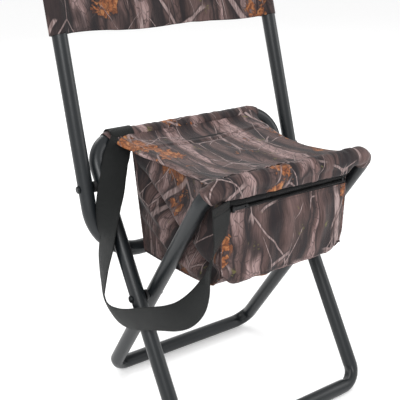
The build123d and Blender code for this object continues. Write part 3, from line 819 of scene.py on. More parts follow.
def add_back_cover():
    """The backrest: a pocket over each upright, and two plies sewn flat between them, bowed back."""
    rows = 60
    heights = np.linspace(COVER_BOTTOM, COVER_TOP, rows)
    outline = pocket_outline()
    middle_steps = 90
    grid = []
    for row, height in enumerate(heights):
        tube_x = back_x(height)
        seam_x = tube_x - outline[-1][0]
        share = (height - COVER_BOTTOM) / (COVER_TOP - COVER_BOTTOM)
        front = [(-tube_x + x, d) for x, d in outline]
        front += [(x, COVER_PLY) for x in np.linspace(-seam_x, seam_x, middle_steps)[1:-1]]
        front += [(tube_x - x, d) for x, d in reversed(outline)]
        front = np.array(front)
        back = front[::-1][1:-1] * (1, -1)
        ring = np.vstack([front, back])
        across = np.clip(np.abs(ring[:, 0]) / seam_x, 0, 1)
        bow = -0.013 * (1 - across**2) * (0.75 + 0.35 * math.sin(math.pi * share))
        closing = 1 - smooth_step(height, COVER_TOP - 0.004, COVER_TOP) * 0.9
        grid.append([(x, height, depth * closing + shift) for (x, depth), shift in zip(ring, bow)])
    grid = np.array(grid)
    columns = grid.shape[1]
    # pulls run in from the pockets, and the lower hem waves a little
    inner = smooth_step(np.abs(grid[:, :, 0]), 0.172, 0.120)
    ripple = soft_noise((rows, columns), (9, 14), 0.0016, 3)
    ripple += soft_noise((rows, columns), (22, 5), 0.0011, 4)
    front_count = len(outline) * 2 + middle_steps - 2
    mirrored = ripple.copy()
    mirrored[:, front_count:] = ripple[:, 1:front_count - 1][:, ::-1]
    grid[:, :, 2] += mirrored * inner
    hem = smooth_step(grid[:, :, 1], COVER_BOTTOM + 0.02, COVER_BOTTOM)
    grid[:, :, 1] += hem * 0.0016 * np.sin(grid[:, :, 0] * 34.0)
    points = np.zeros_like(grid)
    for i in range(rows):
        for j in range(columns):
            points[i, j] = back_place(*grid[i, j])
    cut = np.zeros((rows, columns + 1, 2))
    around = path_lengths(np.vstack([grid[0], grid[0][:1]]) * (1, 0, 1))
    cut[:, :, 0] = around[None, :]
    cut[:, :, 1] = heights[:, None]
    piece = cloth_piece("back_cover_cloth", points, cut, PRINT_BACK_SHADED, "back_frame", None, wrap=True)
    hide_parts("back_cover")
    lines = []
    normals = grid_normals(points)
    for row in (3, 5):
        span = slice(2, front_count - 2)
        lines.append((points[row, span] - normals[row, span] * THREAD_LIFT, -normals[row, span]))
        span = slice(front_count + 2, columns - 2)
        lines.append((points[row, span] - normals[row, span] * THREAD_LIFT, -normals[row, span]))
    edge = len(outline)
    for column in (edge - 1, edge + 1, front_count - edge, front_count - edge - 2):
        lines.append((points[4:-4, column] - normals[4:-4, column] * THREAD_LIFT, -normals[4:-4, column]))
    add_stitches("back_cover_stitches", lines, "back_frame")


# ---------------------------------------------------------------------------------------------
# Seat bars' sleeves and the seat
# ---------------------------------------------------------------------------------------------
def bar_path(half, bar_y, bend, drop_y, end_x, samples):
    """A seat bar's middle line from -end_x to end_x, running down into its bends like the tube."""
    drop = Vector((0, drop_y, FOOT_Z - SEAT_Z)).normalized() * 0.12
    low = Vector((half, bar_y, SEAT_Z)) + drop
    corners = [(-low.x, low.y, low.z), (-half, bar_y, SEAT_Z), (half, bar_y, SEAT_Z), tuple(low)]
    pieces = rounded_path(corners, [0, bend, bend, 0], False, arc_steps=24, straight_step=0.004)
    line = np.array([tuple(point) for point, _, _ in pieces])
    inside = np.abs(line[:, 0]) <= end_x
    line = line[inside]
    return resample(line, path_lengths(line)[-1] / (samples - 1))


def sleeve_points(line, toward_seat, radius, gather, seed, hang, ring=64, seam_out=0.0014):
    """Cloth round a bar: puckered, drawn out to its seam on the seat's side, its fold hanging below."""
    tangent = unit(np.gradient(line, axis=0))
    rows = len(line)
    angles = np.linspace(0, 2 * math.pi, ring, endpoint=False)
    phase = np.random.default_rng(seed).uniform(0, 6.28, 5)
    along = path_lengths(line)
    tucks = sum(np.sin(2 * math.pi * along / wave + shift) for wave, shift in
                zip((0.0125, 0.0171, 0.0093, 0.031, 0.0221), phase)) / 2.6
    tucks = np.sign(tucks) * np.abs(tucks) ** 0.8
    uneven = soft_noise((rows, ring), (7, 9), 1.0, seed + 1)
    uneven[:, -4:] = uneven[:, -4:] * np.linspace(1, 0, 4) + uneven[:, :1] * np.linspace(0, 1, 4)
    seat = np.array([0, toward_seat, 0.0])
    points = np.zeros((rows, ring, 3))
    for i in range(rows):
        rise = np.cross(tangent[i], seat) * toward_seat
        rise = rise / np.linalg.norm(rise)
        if rise[2] < 0 and abs(tangent[i][0]) > 0.7:
            rise = -rise
        side = np.cross(tangent[i], rise)
        if side @ seat < 0:
            side = -side
        drawn = np.exp(-((np.angle(np.exp(1j * (angles - 0.35))) / 0.42) ** 2))
        seatward = np.exp(-((np.angle(np.exp(1j * (angles - 0.5))) / 1.5) ** 2))
        pucker = gather * tucks[i] * (0.35 + 0.65 * seatward)
        radii = radius + 0.0006 + pucker + 0.00035 * uneven[i] + seam_out * drawn
        below = np.angle(np.exp(1j * (angles + math.pi / 2 + 0.33)))
        radii = np.maximum(radii, radius) + hang[i] * np.exp(-((below / 0.30) ** 2))
        spoke = np.cos(angles)[:, None] * side + np.sin(angles)[:, None] * rise
        points[i] = line[i] + radii[:, None] * spoke
    return points


def sleeve_cut(points, line):
    rows, ring = points.shape[:2]
    cut = np.zeros((rows, ring + 1, 2))
    cut[:, :, 1] = np.linspace(0, 2 * math.pi * SLEEVE_R, ring + 1)[None, :]
    cut[:, :, 0] = path_lengths(line)[:, None]
    return cut


def add_sleeve(name, node, line, toward_seat, gather, body, paint, seed, hang):
    points = sleeve_points(line, toward_seat, TUBE_R + CLOTH + 0.0002, gather, seed, hang)
    cut = sleeve_cut(points, line)
    piece = cloth_piece(name, points, cut, paint, body, None, wrap=True)
    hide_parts(node)


def seat_height(y, x):
    """The seat's height: it leaves each bar near its top and sags between them."""
    share = (y - FRONT_BAR_Y) / (REAR_BAR_Y - FRONT_BAR_Y)
    across = np.clip(np.abs(x) / SEAT_HALF, 0, 1.2)
    middle = 4 * share * (1 - share)
    bar = SEAT_Z + TUBE_R + 0.0016
    sag = 0.0165 * middle * (1 - 0.30 * across**2)
    near_front = np.exp(-((y - FRONT_BAR_Y) / 0.016) ** 2)
    near_rear = np.exp(-((y - REAR_BAR_Y) / 0.018) ** 2)
    shoulder = 0.0085
    return bar - shoulder - sag + shoulder * np.maximum(near_front, near_rear) * 0.9


def seat_edge(share):
    """Half the seat's width from its front (0) to its rear (1), drawn in between the bars."""
    front = 0.1275
    rear = 0.138
    return front + (rear - front) * share - 0.0185 * np.sin(math.pi * share) ** 0.8


def add_seat():
    """The seat: one ply of cloth, its side hems turned under, seams across it behind each bar."""
    rows = 130
    columns = 120
    front_y = FRONT_BAR_Y + 0.0035
    rear_y = REAR_BAR_Y - 0.0035
    share = np.linspace(0, 1, rows)
    y = front_y + (rear_y - front_y) * share
    u = np.linspace(-1, 1, columns)
    x = seat_edge(share)[:, None] * u[None, :]
    yy = np.repeat(y[:, None], columns, axis=1)
    z = seat_height(yy, x)
    # soft hollows, the pull lines that run from the corners, and small gathers at the front seam
    z += soft_noise((rows, columns), (34, 26), 0.0016, 11)
    pulls = soft_noise((rows, columns), (60, 7), 0.0013, 12)
    edge_share = smooth_step(np.abs(u), 0.35, 1.0)[None, :]
    z += pulls * edge_share
    gathers = soft_noise((rows, columns), (200, 2.2), 0.0009, 13)
    z += gathers * smooth_step(share, 0.16, 0.03)[:, None]
    # a crease along each seam
    for seam_y, depth in ((FRONT_SEAM_Y + 0.004, 0.0010), (REAR_SEAM_Y, 0.0009)):
        z -= depth * np.exp(-(((yy - seam_y) / 0.0028) ** 2))
        z += depth * 0.7 * np.exp(-(((yy - seam_y - 0.0065) / 0.004) ** 2))
    # the side hems roll down a little
    roll = smooth_step(np.abs(u), 0.93, 1.0)[None, :]
    z -= 0.0034 * roll**1.5
    ripple = soft_noise((rows, 2), (12, 1), 0.0014, 14)
    x[:, :10] += ripple[:, :1] * np.linspace(1, 0, 10)
    x[:, -10:] += ripple[:, -1:] * np.linspace(0, 1, 10)
    points = np.stack([x, yy, z], axis=2)
    along = path_lengths(np.stack([0 * y, y, z[:, 0]], 1))
    cut = np.stack([x, np.repeat(along[:, None], columns, 1)], axis=2)
    piece = cloth_piece("seat_cloth", points, cut, PRINT_SEAT, None, (0, 0, 1))
    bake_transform(piece)
    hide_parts("seat_panel")
    lines = []
    normals = grid_normals(points)
    normals *= np.sign(normals[..., 2:3])
    for seam_y in (FRONT_SEAM_Y + 0.0016, FRONT_SEAM_Y + 0.0062, REAR_SEAM_Y - 0.002, REAR_SEAM_Y + 0.0045):
        row = int(np.argmin(np.abs(y - seam_y)))
        lines.append((points[row, 3:-3] + normals[row, 3:-3] * THREAD_LIFT, normals[row, 3:-3]))
    for column in (6, columns - 7):
        lines.append((points[4:-4, column] + normals[4:-4, column] * THREAD_LIFT, normals[4:-4, column]))
    add_stitches("seat_stitches", lines, None,
                 blend=("rear_frame", "front_frame", BLEND_START, BLEND_END))


BLEND_START = (0, REAR_BAR_Y - 0.030, SEAT_Z)
BLEND_END = (0, FRONT_BAR_Y + 0.024, SEAT_Z)


# ---------------------------------------------------------------------------------------------
# Pouch
# ---------------------------------------------------------------------------------------------
def pouch_blend(piece):
    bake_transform(piece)


def pouch_half(side, y):
    """How far a side of the pouch is from the middle: it narrows forward, and is drawn to the left."""
    share = (POUCH_REAR_FOOT[0] - y) / (POUCH_REAR_FOOT[0] - POUCH_FRONT_Y)
    return POUCH_REAR_HALF + (POUCH_FRONT_HALF - POUCH_REAR_HALF) * share + side * POUCH_SHIFT * share


def add_pouch_front():
    """The front panel: taut along the zip, baggy below, with a turned hem along its foot."""
    rows = 80
    columns = 120
    top_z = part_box("zipper_tape_lower")[0][2] + 0.0005
    u = np.linspace(-1, 1, columns)
    v = np.linspace(0, 1, rows)
    z = top_z + (POUCH_FRONT_FOOT - top_z) * v
    zz = np.repeat(z[:, None], columns, 1)
    # the foot's corners are rounded off and the foot hangs a little in its middle
    corner = smooth_step(np.abs(u), 0.80, 1.0)[None, :] * smooth_step(v, 0.6, 1.0)[:, None]
    zz = zz + 0.012 * corner - 0.0035 * (1 - u[None, :] ** 2) * v[:, None] ** 3
    zz = zz + (-0.0004 - 0.0022 * u[None, :]) * smooth_step(v, 0.12, 0.0)[:, None]
    narrow = 1 - 0.03 * smooth_step(v, 0.7, 1.0)[:, None]
    x = POUCH_SHIFT + POUCH_FRONT_HALF * u[None, :] * narrow
    belly = 0.0065 * np.sin(math.pi * v[:, None]) ** 0.8 * (1 - 0.35 * u[None, :] ** 2)
    belly = belly * (1 - 0.7 * smooth_step(u, -0.70, -1.0)[None, :])
    folds = soft_noise((rows, columns), (26, 15), 0.0016, 21)
    folds += soft_noise((rows, columns), (70, 9), 0.0012, 22)
    free = smooth_step(v, 0.02, 0.25)[:, None] * smooth_step(1 - np.abs(u), 0.0, 0.12)[None, :]
    yy = POUCH_FRONT_Y - 0.0007 - (belly + folds * 0.9) * free
    yy = np.minimum(yy, POUCH_FRONT_Y + 0.001)
    foot_roll = smooth_step(v, 0.955, 1.0)[:, None]
    yy = yy + 0.0045 * foot_roll**2
    points = np.stack([x, yy, zz], axis=2)
    down = path_lengths(np.stack([0 * z, 0 * z, z], 1))
    cut = np.stack([x, np.repeat(-down[:, None], columns, 1)], axis=2)
    piece = cloth_piece("pouch_front_cloth", points, cut, PRINT_FRONT, "pouch_front", (0, -1, 0))
    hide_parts("pouch_front_panel")
    normal = np.array([0, -1.0, 0])
    lines = []
    for row in (2, rows - 6):
        line = points[row, 2:-2] + normal * 0.0005
        lines.append((line, np.repeat(normal[None, :], len(line), 0)))
    add_stitches("pouch_front_stitches", lines, "pouch_front")
    # a thin edge binding down each side and along the foot
    edge = np.vstack([points[:, 0], points[-1, 1:-1], points[::-1, -1]])
    add_piping("pouch_front_piping", resample(edge, 0.0025), 0.0011, PRINT_FRONT, "pouch_front")


def add_piping(name, line, radius, paint, body, blend=None, ring=8):
    """A rolled seam edge of cloth along a line."""
    tangent = unit(np.gradient(line, axis=0))
    guide = np.array([0.31, 0.19, 0.93])
    first = unit(np.cross(tangent, guide))
    second = np.cross(tangent, first)
    angles = np.linspace(0, 2 * math.pi, ring, endpoint=False)
    wobble = 1 + 0.10 * np.sin(path_lengths(line) * 900.0)
    points = line[:, None, :] + radius * wobble[:, None, None] * (
        np.cos(angles)[None, :, None] * first[:, None, :] +
        np.sin(angles)[None, :, None] * second[:, None, :])
    cut = np.zeros((len(line), ring + 1, 2))
    cut[:, :, 0] = np.linspace(0, 2 * math.pi * radius, ring + 1)[None, :]
    cut[:, :, 1] = path_lengths(line)[:, None]
    mesh = grid_mesh(name, points, cut, wrap=True)
    close_ends(mesh, len(line), ring)
    piece = add_piece(name, mesh, [paint], body)
    if blend:
        blend(piece)
    return piece


def close_ends(mesh, rows, ring):
    """Puts a cap on each end of a mesh whose points are rows of one ring each."""
    shell = bmesh.new()
    shell.from_mesh(mesh)
    shell.verts.ensure_lookup_table()
    shell.faces.new([shell.verts[k] for k in reversed(range(ring))])
    shell.faces.new([shell.verts[(rows - 1) * ring + k] for k in range(ring)])
    bmesh.ops.recalc_face_normals(shell, faces=shell.faces[:])
    shell.to_mesh(mesh)
    shell.free()


def gusset_points(side):
    """A side of the pouch: from the seat's side edge down to the bottom, with deep diagonal folds."""
    rows = 90
    columns = 110
    u = np.linspace(0, 1, columns)
    v = np.linspace(0, 1, rows)
    top_y = POUCH_REAR_TOP[0] + (POUCH_FRONT_Y + 0.0008 - POUCH_REAR_TOP[0]) * u
    share = np.clip((top_y - FRONT_BAR_Y) / (REAR_BAR_Y - FRONT_BAR_Y), 0, 1)
    top_x = np.minimum(seat_edge(share) - 0.0035, pouch_half(side, top_y) + 0.012)
    top_x = top_x + (pouch_half(side, top_y) + 0.0004 - top_x) * smooth_step(u, 0.86, 1.0)
    top_z = seat_height(top_y, top_x) - 0.0026
    top_z = top_z - 0.020 * smooth_step(u, 0.90, 1.0)
    foot_y = POUCH_REAR_FOOT[0] + (POUCH_FRONT_Y + 0.0008 - POUCH_REAR_FOOT[0]) * u
    foot_x = pouch_half(side, foot_y)
    foot_z = POUCH_REAR_FOOT[1] + (POUCH_FRONT_FOOT - POUCH_REAR_FOOT[1]) * u - 0.0035 * np.sin(math.pi * u)
    foot_z = foot_z + 0.011 * smooth_step(u, 0.92, 1.0)
    top = np.stack([top_x, top_y, top_z], axis=1)
    foot = np.stack([foot_x, foot_y, foot_z], axis=1)
    points = top[None] * (1 - v[:, None, None]) + foot[None] * v[:, None, None]
    # the cloth is longer than the gap: one deep fold runs from the rear top to the front foot
    uu, vv = np.meshgrid(u, v)
    crease = vv - (0.16 + 0.80 * uu)
    fold = -0.021 * np.exp(-((crease / 0.070) ** 2)) + 0.013 * np.exp(-(((crease + 0.19) / 0.12) ** 2))
    fold += 0.012 * np.exp(-(((crease - 0.22) / 0.14) ** 2))
    second = vv - (0.62 + 0.42 * uu)
    fold += 0.006 * np.exp(-((second / 0.045) ** 2)) - 0.005 * np.exp(-(((second + 0.11) / 0.05) ** 2))
    upright = uu - 0.78 - 0.08 * vv
    fold += 0.006 * np.exp(-((upright / 0.045) ** 2)) - 0.007 * np.exp(-(((upright - 0.09) / 0.04) ** 2))
    fold += soft_noise((rows, columns), (13, 17), 0.0016, 31 + (side > 0))
    pinned = np.sin(math.pi * np.clip(uu, 0, 1)) ** 0.55
    pinned = pinned * np.sin(math.pi * np.clip(vv * 0.94 + 0.04, 0, 1)) ** 0.6
    points[:, :, 0] += fold * pinned
    points[:, :, 0] *= side
    return points


def add_gusset(side):
    name = "left" if side < 0 else "right"
    points = gusset_points(side)
    rows, columns = points.shape[:2]
    along = path_lengths(points[0])
    down = np.concatenate([[0], np.cumsum(np.linalg.norm(np.diff(points[:, 0], axis=0), axis=1))])
    cut = np.stack([np.repeat(along[None, :], rows, 0), -np.repeat(down[:, None], columns, 1)], axis=2)
    piece = cloth_piece(f"pouch_gusset_{name}_cloth", points, cut, PRINT_SIDE_SHADED, None, (side, 0, 0))
    pouch_blend(piece)
    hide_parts(f"pouch_gusset_{name}")
    rear = resample(points[:, 0], 0.0025)
    foot = resample(points[-1], 0.0025)
    add_piping(f"pouch_rear_piping_{name}", rear, 0.0012, PRINT_SIDE_SHADED, None, pouch_blend)
    add_piping(f"pouch_foot_piping_{name}", foot, 0.0012, PRINT_SIDE_SHADED, None, pouch_blend)
    outward = np.zeros((columns, 3))
    outward[:, 0] = side
    lift = np.array([side * 0.0006, 0, 0])
    lines = [(points[-5] + lift, outward)]
    add_stitches(f"gusset_stitches_{name}", lines, None, blend=(
        "rear_frame", "pouch_front", (0, POUCH_REAR_TOP[0] - 0.030, 0.3), (0, POUCH_FRONT_Y + 0.003, 0.3)))
    return points


def add_pouch_rear(left, right):
    """The back of the pouch, hanging from under the seat near its rear bar."""
    rows = left.shape[0]
    columns = 90
    u = np.linspace(0, 1, columns)
    a = left[:, 0]
    b = right[:, 0]
    points = a[:, None, :] * (1 - u[None, :, None]) + b[:, None, :] * u[None, :, None]
    free = np.sin(math.pi * np.linspace(0.02, 0.98, rows))[:, None] * np.sin(math.pi * u)[None, :] ** 0.6
    points[:, :, 1] += (0.006 + soft_noise((rows, columns), (25, 14), 0.0018, 41)) * free
    points[0, :, 2] -= 0.004 * np.sin(math.pi * u)
    down = path_lengths(a)
    across = np.repeat(points[0, :, 0][None, :], rows, 0)
    cut = np.stack([across, -np.repeat(down[:, None], columns, 1)], axis=2)
    piece = cloth_piece("pouch_rear_cloth", points, cut, PRINT_SIDE_SHADED, "rear_frame", (0, 1, 0))
    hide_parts("pouch_rear_panel")


def add_pouch_bottom(left, right):
    """The bottom, hanging in a shallow sag between the two gussets."""
    a = left[-1]
    b = right[-1]
    rows = len(a)
    columns = 90
    u = np.linspace(0, 1, columns)
    points = a[:, None, :] * (1 - u[None, :, None]) + b[:, None, :] * u[None, :, None]
    v = np.linspace(0, 1, rows)
    free = np.sin(math.pi * v)[:, None] ** 0.7 * np.sin(math.pi * u)[None, :] ** 0.7
    points[:, :, 2] -= (0.007 + soft_noise((rows, columns), (22, 18), 0.0022, 51)) * free
    along = path_lengths(a)
    cut = np.stack([points[:, :, 0], np.repeat(along[:, None], columns, 1)], axis=2)
    piece = cloth_piece("pouch_bottom_cloth", points, cut, PRINT_SIDE_SHADED, None, (0, 0, -1))
    pouch_blend(piece)
    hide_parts("pouch_bottom")


# ---------------------------------------------------------------------------------------------
# Zip
# ---------------------------------------------------------------------------------------------
COIL_PITCH = 0.0019
COIL_WIRE = 0.00042


def strip_points(half, z_low, z_high, y, columns, rows, wave, seed):
    """A narrow upright strip across the pouch's front, nearly flat."""
    u = np.linspace(-1, 1, columns)
    z = np.linspace(z_low, z_high, rows)
    ripple = soft_noise((rows, columns), (rows, 9), wave, seed)
    x = np.repeat((POUCH_SHIFT + u * half)[None, :], rows, 0)
    points = np.stack([x, y + ripple, np.repeat(z[:, None], columns, 1)], axis=2)
    cut = np.stack([x, points[:, :, 2]], axis=2)
    return points, cut


TAPE_FULL_WIDTH = 0.013
TAPE_TUCK = 0.0016


def add_zip_tape(name, node, seed):
    """One side of the zip: its knitted tape, whose outer half is tucked behind the cloth and sewn there."""
    low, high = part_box(node)
    lower = "lower" in node
    z_low = high[2] - TAPE_FULL_WIDTH if lower else low[2]
    z_high = high[2] if lower else low[2] + TAPE_FULL_WIDTH
    rows = 18
    tape_y = (low[1] + high[1]) / 2 - 0.0004
    points, cut = strip_points(POUCH_FRONT_HALF - 0.001, z_low, z_high, tape_y, 160, rows, 0.00022, seed)
    heights = np.linspace(z_low, z_high, rows)
    hidden = smooth_step(heights, low[2] + 0.0012, low[2] - 0.0016) if lower else smooth_step(
        heights, high[2] - 0.0012, high[2] + 0.0016)
    points[:, :, 1] += TAPE_TUCK * hidden[:, None]
    mesh = grid_mesh(name, points, cut)
    piece = add_piece(name, mesh, [TAPE, TAPE], None)
    thicken(piece, 0.0007, 0.0)
    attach(piece, "pouch_front")
    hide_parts(node)
    edge = low[2] + 0.0013 if lower else high[2] - 0.0013
    front = low[1] - 0.0003
    line = np.stack([POUCH_SHIFT + np.linspace(-1, 1, 60) * (POUCH_FRONT_HALF - 0.004),
                     np.full(60, front), np.full(60, edge)], axis=1)
    facing = np.repeat(np.array([[0, -1.0, 0]]), 60, 0)
    add_stitches(name + "_stitches", [(line, facing)], "pouch_front")


def add_zip_coil(name, node, upper):
    """A nylon coil: a flattened helix of monofilament, one turn for each tooth."""
    low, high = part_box(node)
    turns = int((high[0] - low[0]) / COIL_PITCH)
    steps = 12
    count = turns * steps
    angle = np.linspace(0, 2 * math.pi * turns, count)
    if upper:
        angle = angle + math.pi
    half_z = (high[2] - low[2]) / 2 - COIL_WIRE / 2
    half_y = (high[1] - low[1]) / 2 - COIL_WIRE / 2
    middle_y = (low[1] + high[1]) / 2
    middle_z = (low[2] + high[2]) / 2
    line = np.stack([np.linspace(low[0] + 0.0005, high[0] - 0.0005, count),
                     middle_y + half_y * np.cos(angle),
                     middle_z + half_z * np.sin(angle)], axis=1)
    tangent = unit(np.gradient(line, axis=0))
    first = unit(np.cross(tangent, np.array([1.0, 0, 0])))
    second = np.cross(tangent, first)
    ring = 6
    around = np.linspace(0, 2 * math.pi, ring, endpoint=False)
    points = line[:, None, :] + COIL_WIRE / 2 * (
        np.cos(around)[None, :, None] * first[:, None, :] +
        np.sin(around)[None, :, None] * second[:, None, :])
    cut = np.zeros((count, ring + 1, 2))
    mesh = grid_mesh(name, points, cut, wrap=True)
    close_ends(mesh, count, ring)
    piece = add_piece(name, mesh, [COIL], "pouch_front")
    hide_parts(node)


FLAP_OVER_TAPE = 0.0024


def add_flap():
    """The woven band between the zip and the front bar's sleeve, with its edge turned in."""
    low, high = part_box("front_flap")
    rows = 16
    points, cut = strip_points(POUCH_FRONT_HALF, low[2] - FLAP_OVER_TAPE, high[2], low[1] + 0.0004, 120,
                               rows, 0.0005, 61)
    lift = smooth_step(np.linspace(0, 1, rows), 0.25, 1.0)[:, None]
    points[:, :, 1] += 0.0030 * lift
    piece = cloth_piece("front_flap_cloth", points, cut, TAPE, "pouch_front", (0, -1, 0))
    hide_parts("front_flap")


# ---------------------------------------------------------------------------------------------
# Carrying strap
# ---------------------------------------------------------------------------------------------
# Middle line of the hanging strap, from the rear bar round to the front bar, and the way its inner
# edge points from its outer edge. Y is measured from the leg pivot.
STRAP_ROUTE = [
    ((-0.1210, 0.1092, 0.4000), (1.0, 0.0, 0.0)),
    ((-0.1300, 0.1055, 0.3880), (1.0, 0.0, 0.1)),
    ((-0.1410, 0.0955, 0.3770), (1.0, 0.05, 0.1)),
    ((-0.1520, 0.0815, 0.3640), (1.0, 0.0, 0.06)),
    ((-0.1640, 0.0690, 0.3450), (0.90, -0.42, 0.0)),
    ((-0.1760, 0.0570, 0.3260), (0.55, -0.83, 0.0)),
    ((-0.1860, 0.0440, 0.3020), (0.2, -0.98, 0.0)),
    ((-0.1895, 0.0405, 0.2840), (0.0, -1.0, 0.0)),
    ((-0.1900, 0.0465, 0.2660), (-0.06, -1.0, 0.0)),
    ((-0.1900, 0.0520, 0.2480), (-0.13, -0.99, 0.0)),
    ((-0.1900, 0.0550, 0.2300), (-0.22, -0.97, 0.0)),
    ((-0.1900, 0.0570, 0.2120), (-0.32, -0.94, 0.0)),
    ((-0.1900, 0.0560, 0.1940), (-0.42, -0.85, 0.3)),
    ((-0.1895, 0.0460, 0.1795), (-0.42, -0.6, 0.68)),
    ((-0.1890, 0.0270, 0.1735), (-0.40, -0.25, 0.88)),
    ((-0.1875, 0.0030, 0.1770), (-0.37, 0.0, 0.93)),
    ((-0.1855, -0.0210, 0.1860), (-0.37, 0.15, 0.92)),
    ((-0.1820, -0.0440, 0.1970), (-0.35, 0.25, 0.90)),
    ((-0.1770, -0.0700, 0.2085), (-0.30, 0.3, 0.90)),
    ((-0.1700, -0.0940, 0.2190), (-0.22, 0.45, 0.87)),
    ((-0.1620, -0.1130, 0.2320), (-0.10, 0.65, 0.76)),
    ((-0.1540, -0.1270, 0.2510), (0.10, 0.82, 0.56)),
    ((-0.1470, -0.1345, 0.2740), (0.35, 0.85, 0.30)),
    ((-0.1420, -0.1372, 0.2980), (0.58, 0.80, 0.12)),
    ((-0.1375, -0.1405, 0.3200), (0.72, 0.68, 0.05)),
    ((-0.1325, -0.1430, 0.3390), (0.84, 0.54, 0.0)),
    ((-0.1295, -0.1420, 0.3530), (0.90, 0.43, 0.0)),
    ((-0.1283, -0.1412, 0.3640), (0.93, 0.37, 0.0)),
    ((-0.1280, -0.1410, 0.3735), (0.93, 0.37, 0.0)),
]


def smooth_route(values, samples):
    """A smooth curve through a few given values (Catmull-Rom), sampled evenly by index."""
    values = np.array(values, float)
    padded = np.vstack([2 * values[0] - values[1], values, 2 * values[-1] - values[-2]])
    spots = np.linspace(0, len(values) - 1.000001, samples)
    k = spots.astype(int)
    t = (spots - k)[:, None]
    a, b, c, d = padded[k], padded[k + 1], padded[k + 2], padded[k + 3]
    return 0.5 * (2 * b + (c - a) * t + (2 * a - 5 * b + 4 * c - d) * t**2 + (3 * b - a - 3 * c + d) * t**3)


def web_grid(centre, across, columns=14):
    """The flat band of a strap: rows along it, columns across it, and its facing directions."""
    along = unit(np.gradient(centre, axis=0))
    across = across - along * np.sum(across * along, axis=1, keepdims=True)
    across /= np.linalg.norm(across, axis=1, keepdims=True)
    facing = np.cross(across, along)
    s = np.linspace(-WEB_WIDTH / 2, WEB_WIDTH / 2, columns)
    return centre[:, None, :] + s[None, :, None] * across[:, None, :], s, facing


def web_mesh(name, points, s, lengths):
    """Webbing on a grid, thickened, with UVs in metres."""
    cut = np.stack([np.repeat(s[None, :], len(lengths), 0), np.repeat(lengths[:, None], len(s), 1)], axis=2)
    mesh = grid_mesh(name, points, cut)
    piece = add_piece(name, mesh, [WEB, WEB], None)
    thicken(piece, WEB_THICK, 0.0, reverse=False)
    return piece


def add_strap():
    spots = [point for point, _ in STRAP_ROUTE]
    turns = [across for _, across in STRAP_ROUTE]
    centre = smooth_route(spots, 260)
    centre[:, 1] += MID_Y
    centre[-1, 2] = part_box("strap_front_tab")[0][2] + 0.0002
    across = smooth_route(turns, 260)
    points, s, facing = web_grid(centre, across)
    lengths = path_lengths(centre)
    # a slight cupping, as webbing takes from being rolled
    cup = 0.0009 * (s / (WEB_WIDTH / 2)) ** 2
    points = points + facing[:, None, :] * cup[None, :, None]
    piece = web_mesh("strap_webbing", points, s, lengths)
    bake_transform(piece)
    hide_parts("shoulder_strap")


def add_strap_loop():
    """The turn of webbing round the rear bar."""
    low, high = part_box("strap_rear_loop")
    middle_x = (low[0] + high[0]) / 2
    radius = SLEEVE_R + 0.0014
    steps = 64
    angles = np.linspace(-0.5 * math.pi, 1.5 * math.pi, steps)
    s = np.linspace(-WEB_WIDTH / 2, WEB_WIDTH / 2, 12)
    points = np.zeros((steps, 12, 3))
    points[:, :, 0] = middle_x + s[None, :]
    points[:, :, 1] = REAR_BAR_Y + radius * np.cos(angles)[:, None]
    points[:, :, 2] = SEAT_Z + radius * np.sin(angles)[:, None]
    lengths = angles * radius
    piece = web_mesh("strap_loop_webbing", points, s, lengths - lengths[0])
    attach(piece, "rear_frame")
    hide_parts("strap_rear_loop")


def add_strap_tab():
    """The webbing's end, sewn up under the front bar with a crossed box of stitches."""
    low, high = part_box("strap_front_tab")
    across = Vector(STRAP_ROUTE[-1][1]).normalized()
    middle = (Vector(low) + Vector(high)) / 2
    rows = 14
    s = np.linspace(-WEB_WIDTH / 2, WEB_WIDTH / 2, 12)
    z = np.linspace(low[2], high[2], rows)
    points = np.zeros((rows, 12, 3))
    points[:, :, 0] = middle.x + across.x * s[None, :]
    points[:, :, 1] = middle.y + across.y * s[None, :]
    points[:, :, 2] = z[:, None]
    piece = web_mesh("strap_tab_webbing", points, s, z - z[0])
    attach(piece, "front_frame")
    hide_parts("strap_front_tab")
    facing = np.array([across.y, -across.x, 0.0])
    edge = WEB_WIDTH / 2 - 0.004
    z_low, z_high = low[2] + 0.002, high[2] - 0.002

    def spot(offset, height):
        flat = np.array([middle.x + across.x * offset, middle.y + across.y * offset, height])
        return flat + facing * (WEB_THICK / 2 + 0.0002)

    corners = [spot(-edge, z_low), spot(edge, z_low), spot(edge, z_high), spot(-edge, z_high)]
    runs = [(0, 1), (1, 2), (2, 3), (3, 0), (0, 2), (1, 3)]
    facings = np.repeat(facing[None, :], 2, 0)
    lines = [(np.array([corners[a], corners[b]]), facings) for a, b in runs]
    add_stitches("strap_tab_stitches", lines, "front_frame")


# ---------------------------------------------------------------------------------------------
# Carried-over CAD pieces
# ---------------------------------------------------------------------------------------------
def repaint(node, material):
    """Gives a CAD node its finished material, on every slot it has."""
    for piece in bpy.data.objects:
        if piece.type == "MESH" and (piece.name == node or piece.get("node") == node):
            if not piece.data.materials:
                piece.data.materials.append(material)
            for slot in piece.material_slots:
                slot.material = material


def repaint_all():
    black = moulded("black_plastic_moulded", (0.006, 0.006, 0.0065))
    rivet_steel = dark_metal("rivet_blackened", (0.012, 0.014, 0.015), 0.34)
    zip_metal = dark_metal("zip_enamel", (0.010, 0.010, 0.011), 0.30)
    steel = bare_steel()
    finishes = {"rear_joiner": steel, "front_joiner": steel}
    for side in ("left", "right"):
        finishes.update({f"{part}_{side}": black for part in ("back_cap", "leg_spacer", "back_spacer")})
        finishes.update({f"{part}_{side}": rivet_steel for part in ("leg_rivet", "back_rivet")})
    for part in ("stops", "slider", "pull"):
        finishes[f"zipper_{part}"] = zip_metal
    for node, material in finishes.items():
        repaint(node, material)


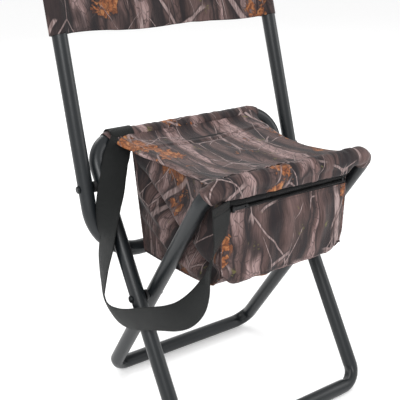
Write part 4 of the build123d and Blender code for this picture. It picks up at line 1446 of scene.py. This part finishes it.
# ---------------------------------------------------------------------------------------------
# The whole stool
# ---------------------------------------------------------------------------------------------
PRINT_SEAT = print_cloth("print_seat", (0.31, 0.12, 0))
PRINT_FRONT = print_cloth("print_front", (1.17, 0.64, 0))
# the side and back prints are darker copies of the same cloth: painted shade on the pouch's sides, rear and
# bottom and on the backrest
PRINT_SIDE_SHADED = print_cloth("print_side_shaded", (2.41, 1.53, 0), 0.62)
PRINT_BACK_SHADED = print_cloth("print_back_shaded", (3.77, 2.18, 0), 0.80)
REVERSE = backing_cloth()
COAT = powder_coat()
WEB = webbing()
TAPE = zip_tape_cloth()
THREAD = thread_paint()
COIL = moulded("zip_coil_nylon", (0.005, 0.005, 0.0055))

add_camera()
add_studio()
add_leg_tube("rear_loop_bent", REAR_HALF, REAR_BAR_Y, FRONT_FOOT_Y, REAR_TOP_BEND, (1, 2), "rear_frame",
             "rear_seat_tube")
add_leg_tube("front_loop_bent", FRONT_HALF, FRONT_BAR_Y, REAR_FOOT_Y, FRONT_TOP_BEND, (1, 2), "front_frame",
             "front_seat_tube")
add_back_tube()
add_back_cover()
rear_line = bar_path(REAR_HALF, REAR_BAR_Y, REAR_TOP_BEND, FRONT_FOOT_Y - REAR_BAR_Y, 0.141, 260)
front_line = bar_path(FRONT_HALF, FRONT_BAR_Y, FRONT_TOP_BEND, REAR_FOOT_Y - FRONT_BAR_Y, 0.135, 260)
add_sleeve("rear_sleeve_cloth", "rear_sleeve", rear_line, -1, 0.0004, "rear_frame", PRINT_SEAT, 71,
           np.zeros(len(rear_line)))
front_hang = 0.0072 + 0.0022 * front_line[:, 0] / POUCH_FRONT_HALF
front_hang = front_hang * smooth_step(np.abs(front_line[:, 0] - POUCH_SHIFT), POUCH_FRONT_HALF + 0.012,
                                      POUCH_FRONT_HALF - 0.006)
add_sleeve("front_sleeve_cloth", "front_sleeve", front_line, 1, 0.0007, "front_frame", PRINT_SEAT, 81,
           front_hang)
add_seat()
add_pouch_front()
gusset_left = add_gusset(-1)
gusset_right = add_gusset(1)
add_pouch_rear(gusset_left, gusset_right)
add_pouch_bottom(gusset_left, gusset_right)
add_flap()
add_zip_tape("zip_tape_lower_knit", "zipper_tape_lower", 91)
add_zip_tape("zip_tape_upper_knit", "zipper_tape_upper", 92)
add_zip_coil("zip_coil_lower_turns", "zipper_coil_lower", False)
add_zip_coil("zip_coil_upper_turns", "zipper_coil_upper", True)
add_strap()
add_strap_loop()
add_strap_tab()
repaint_all()
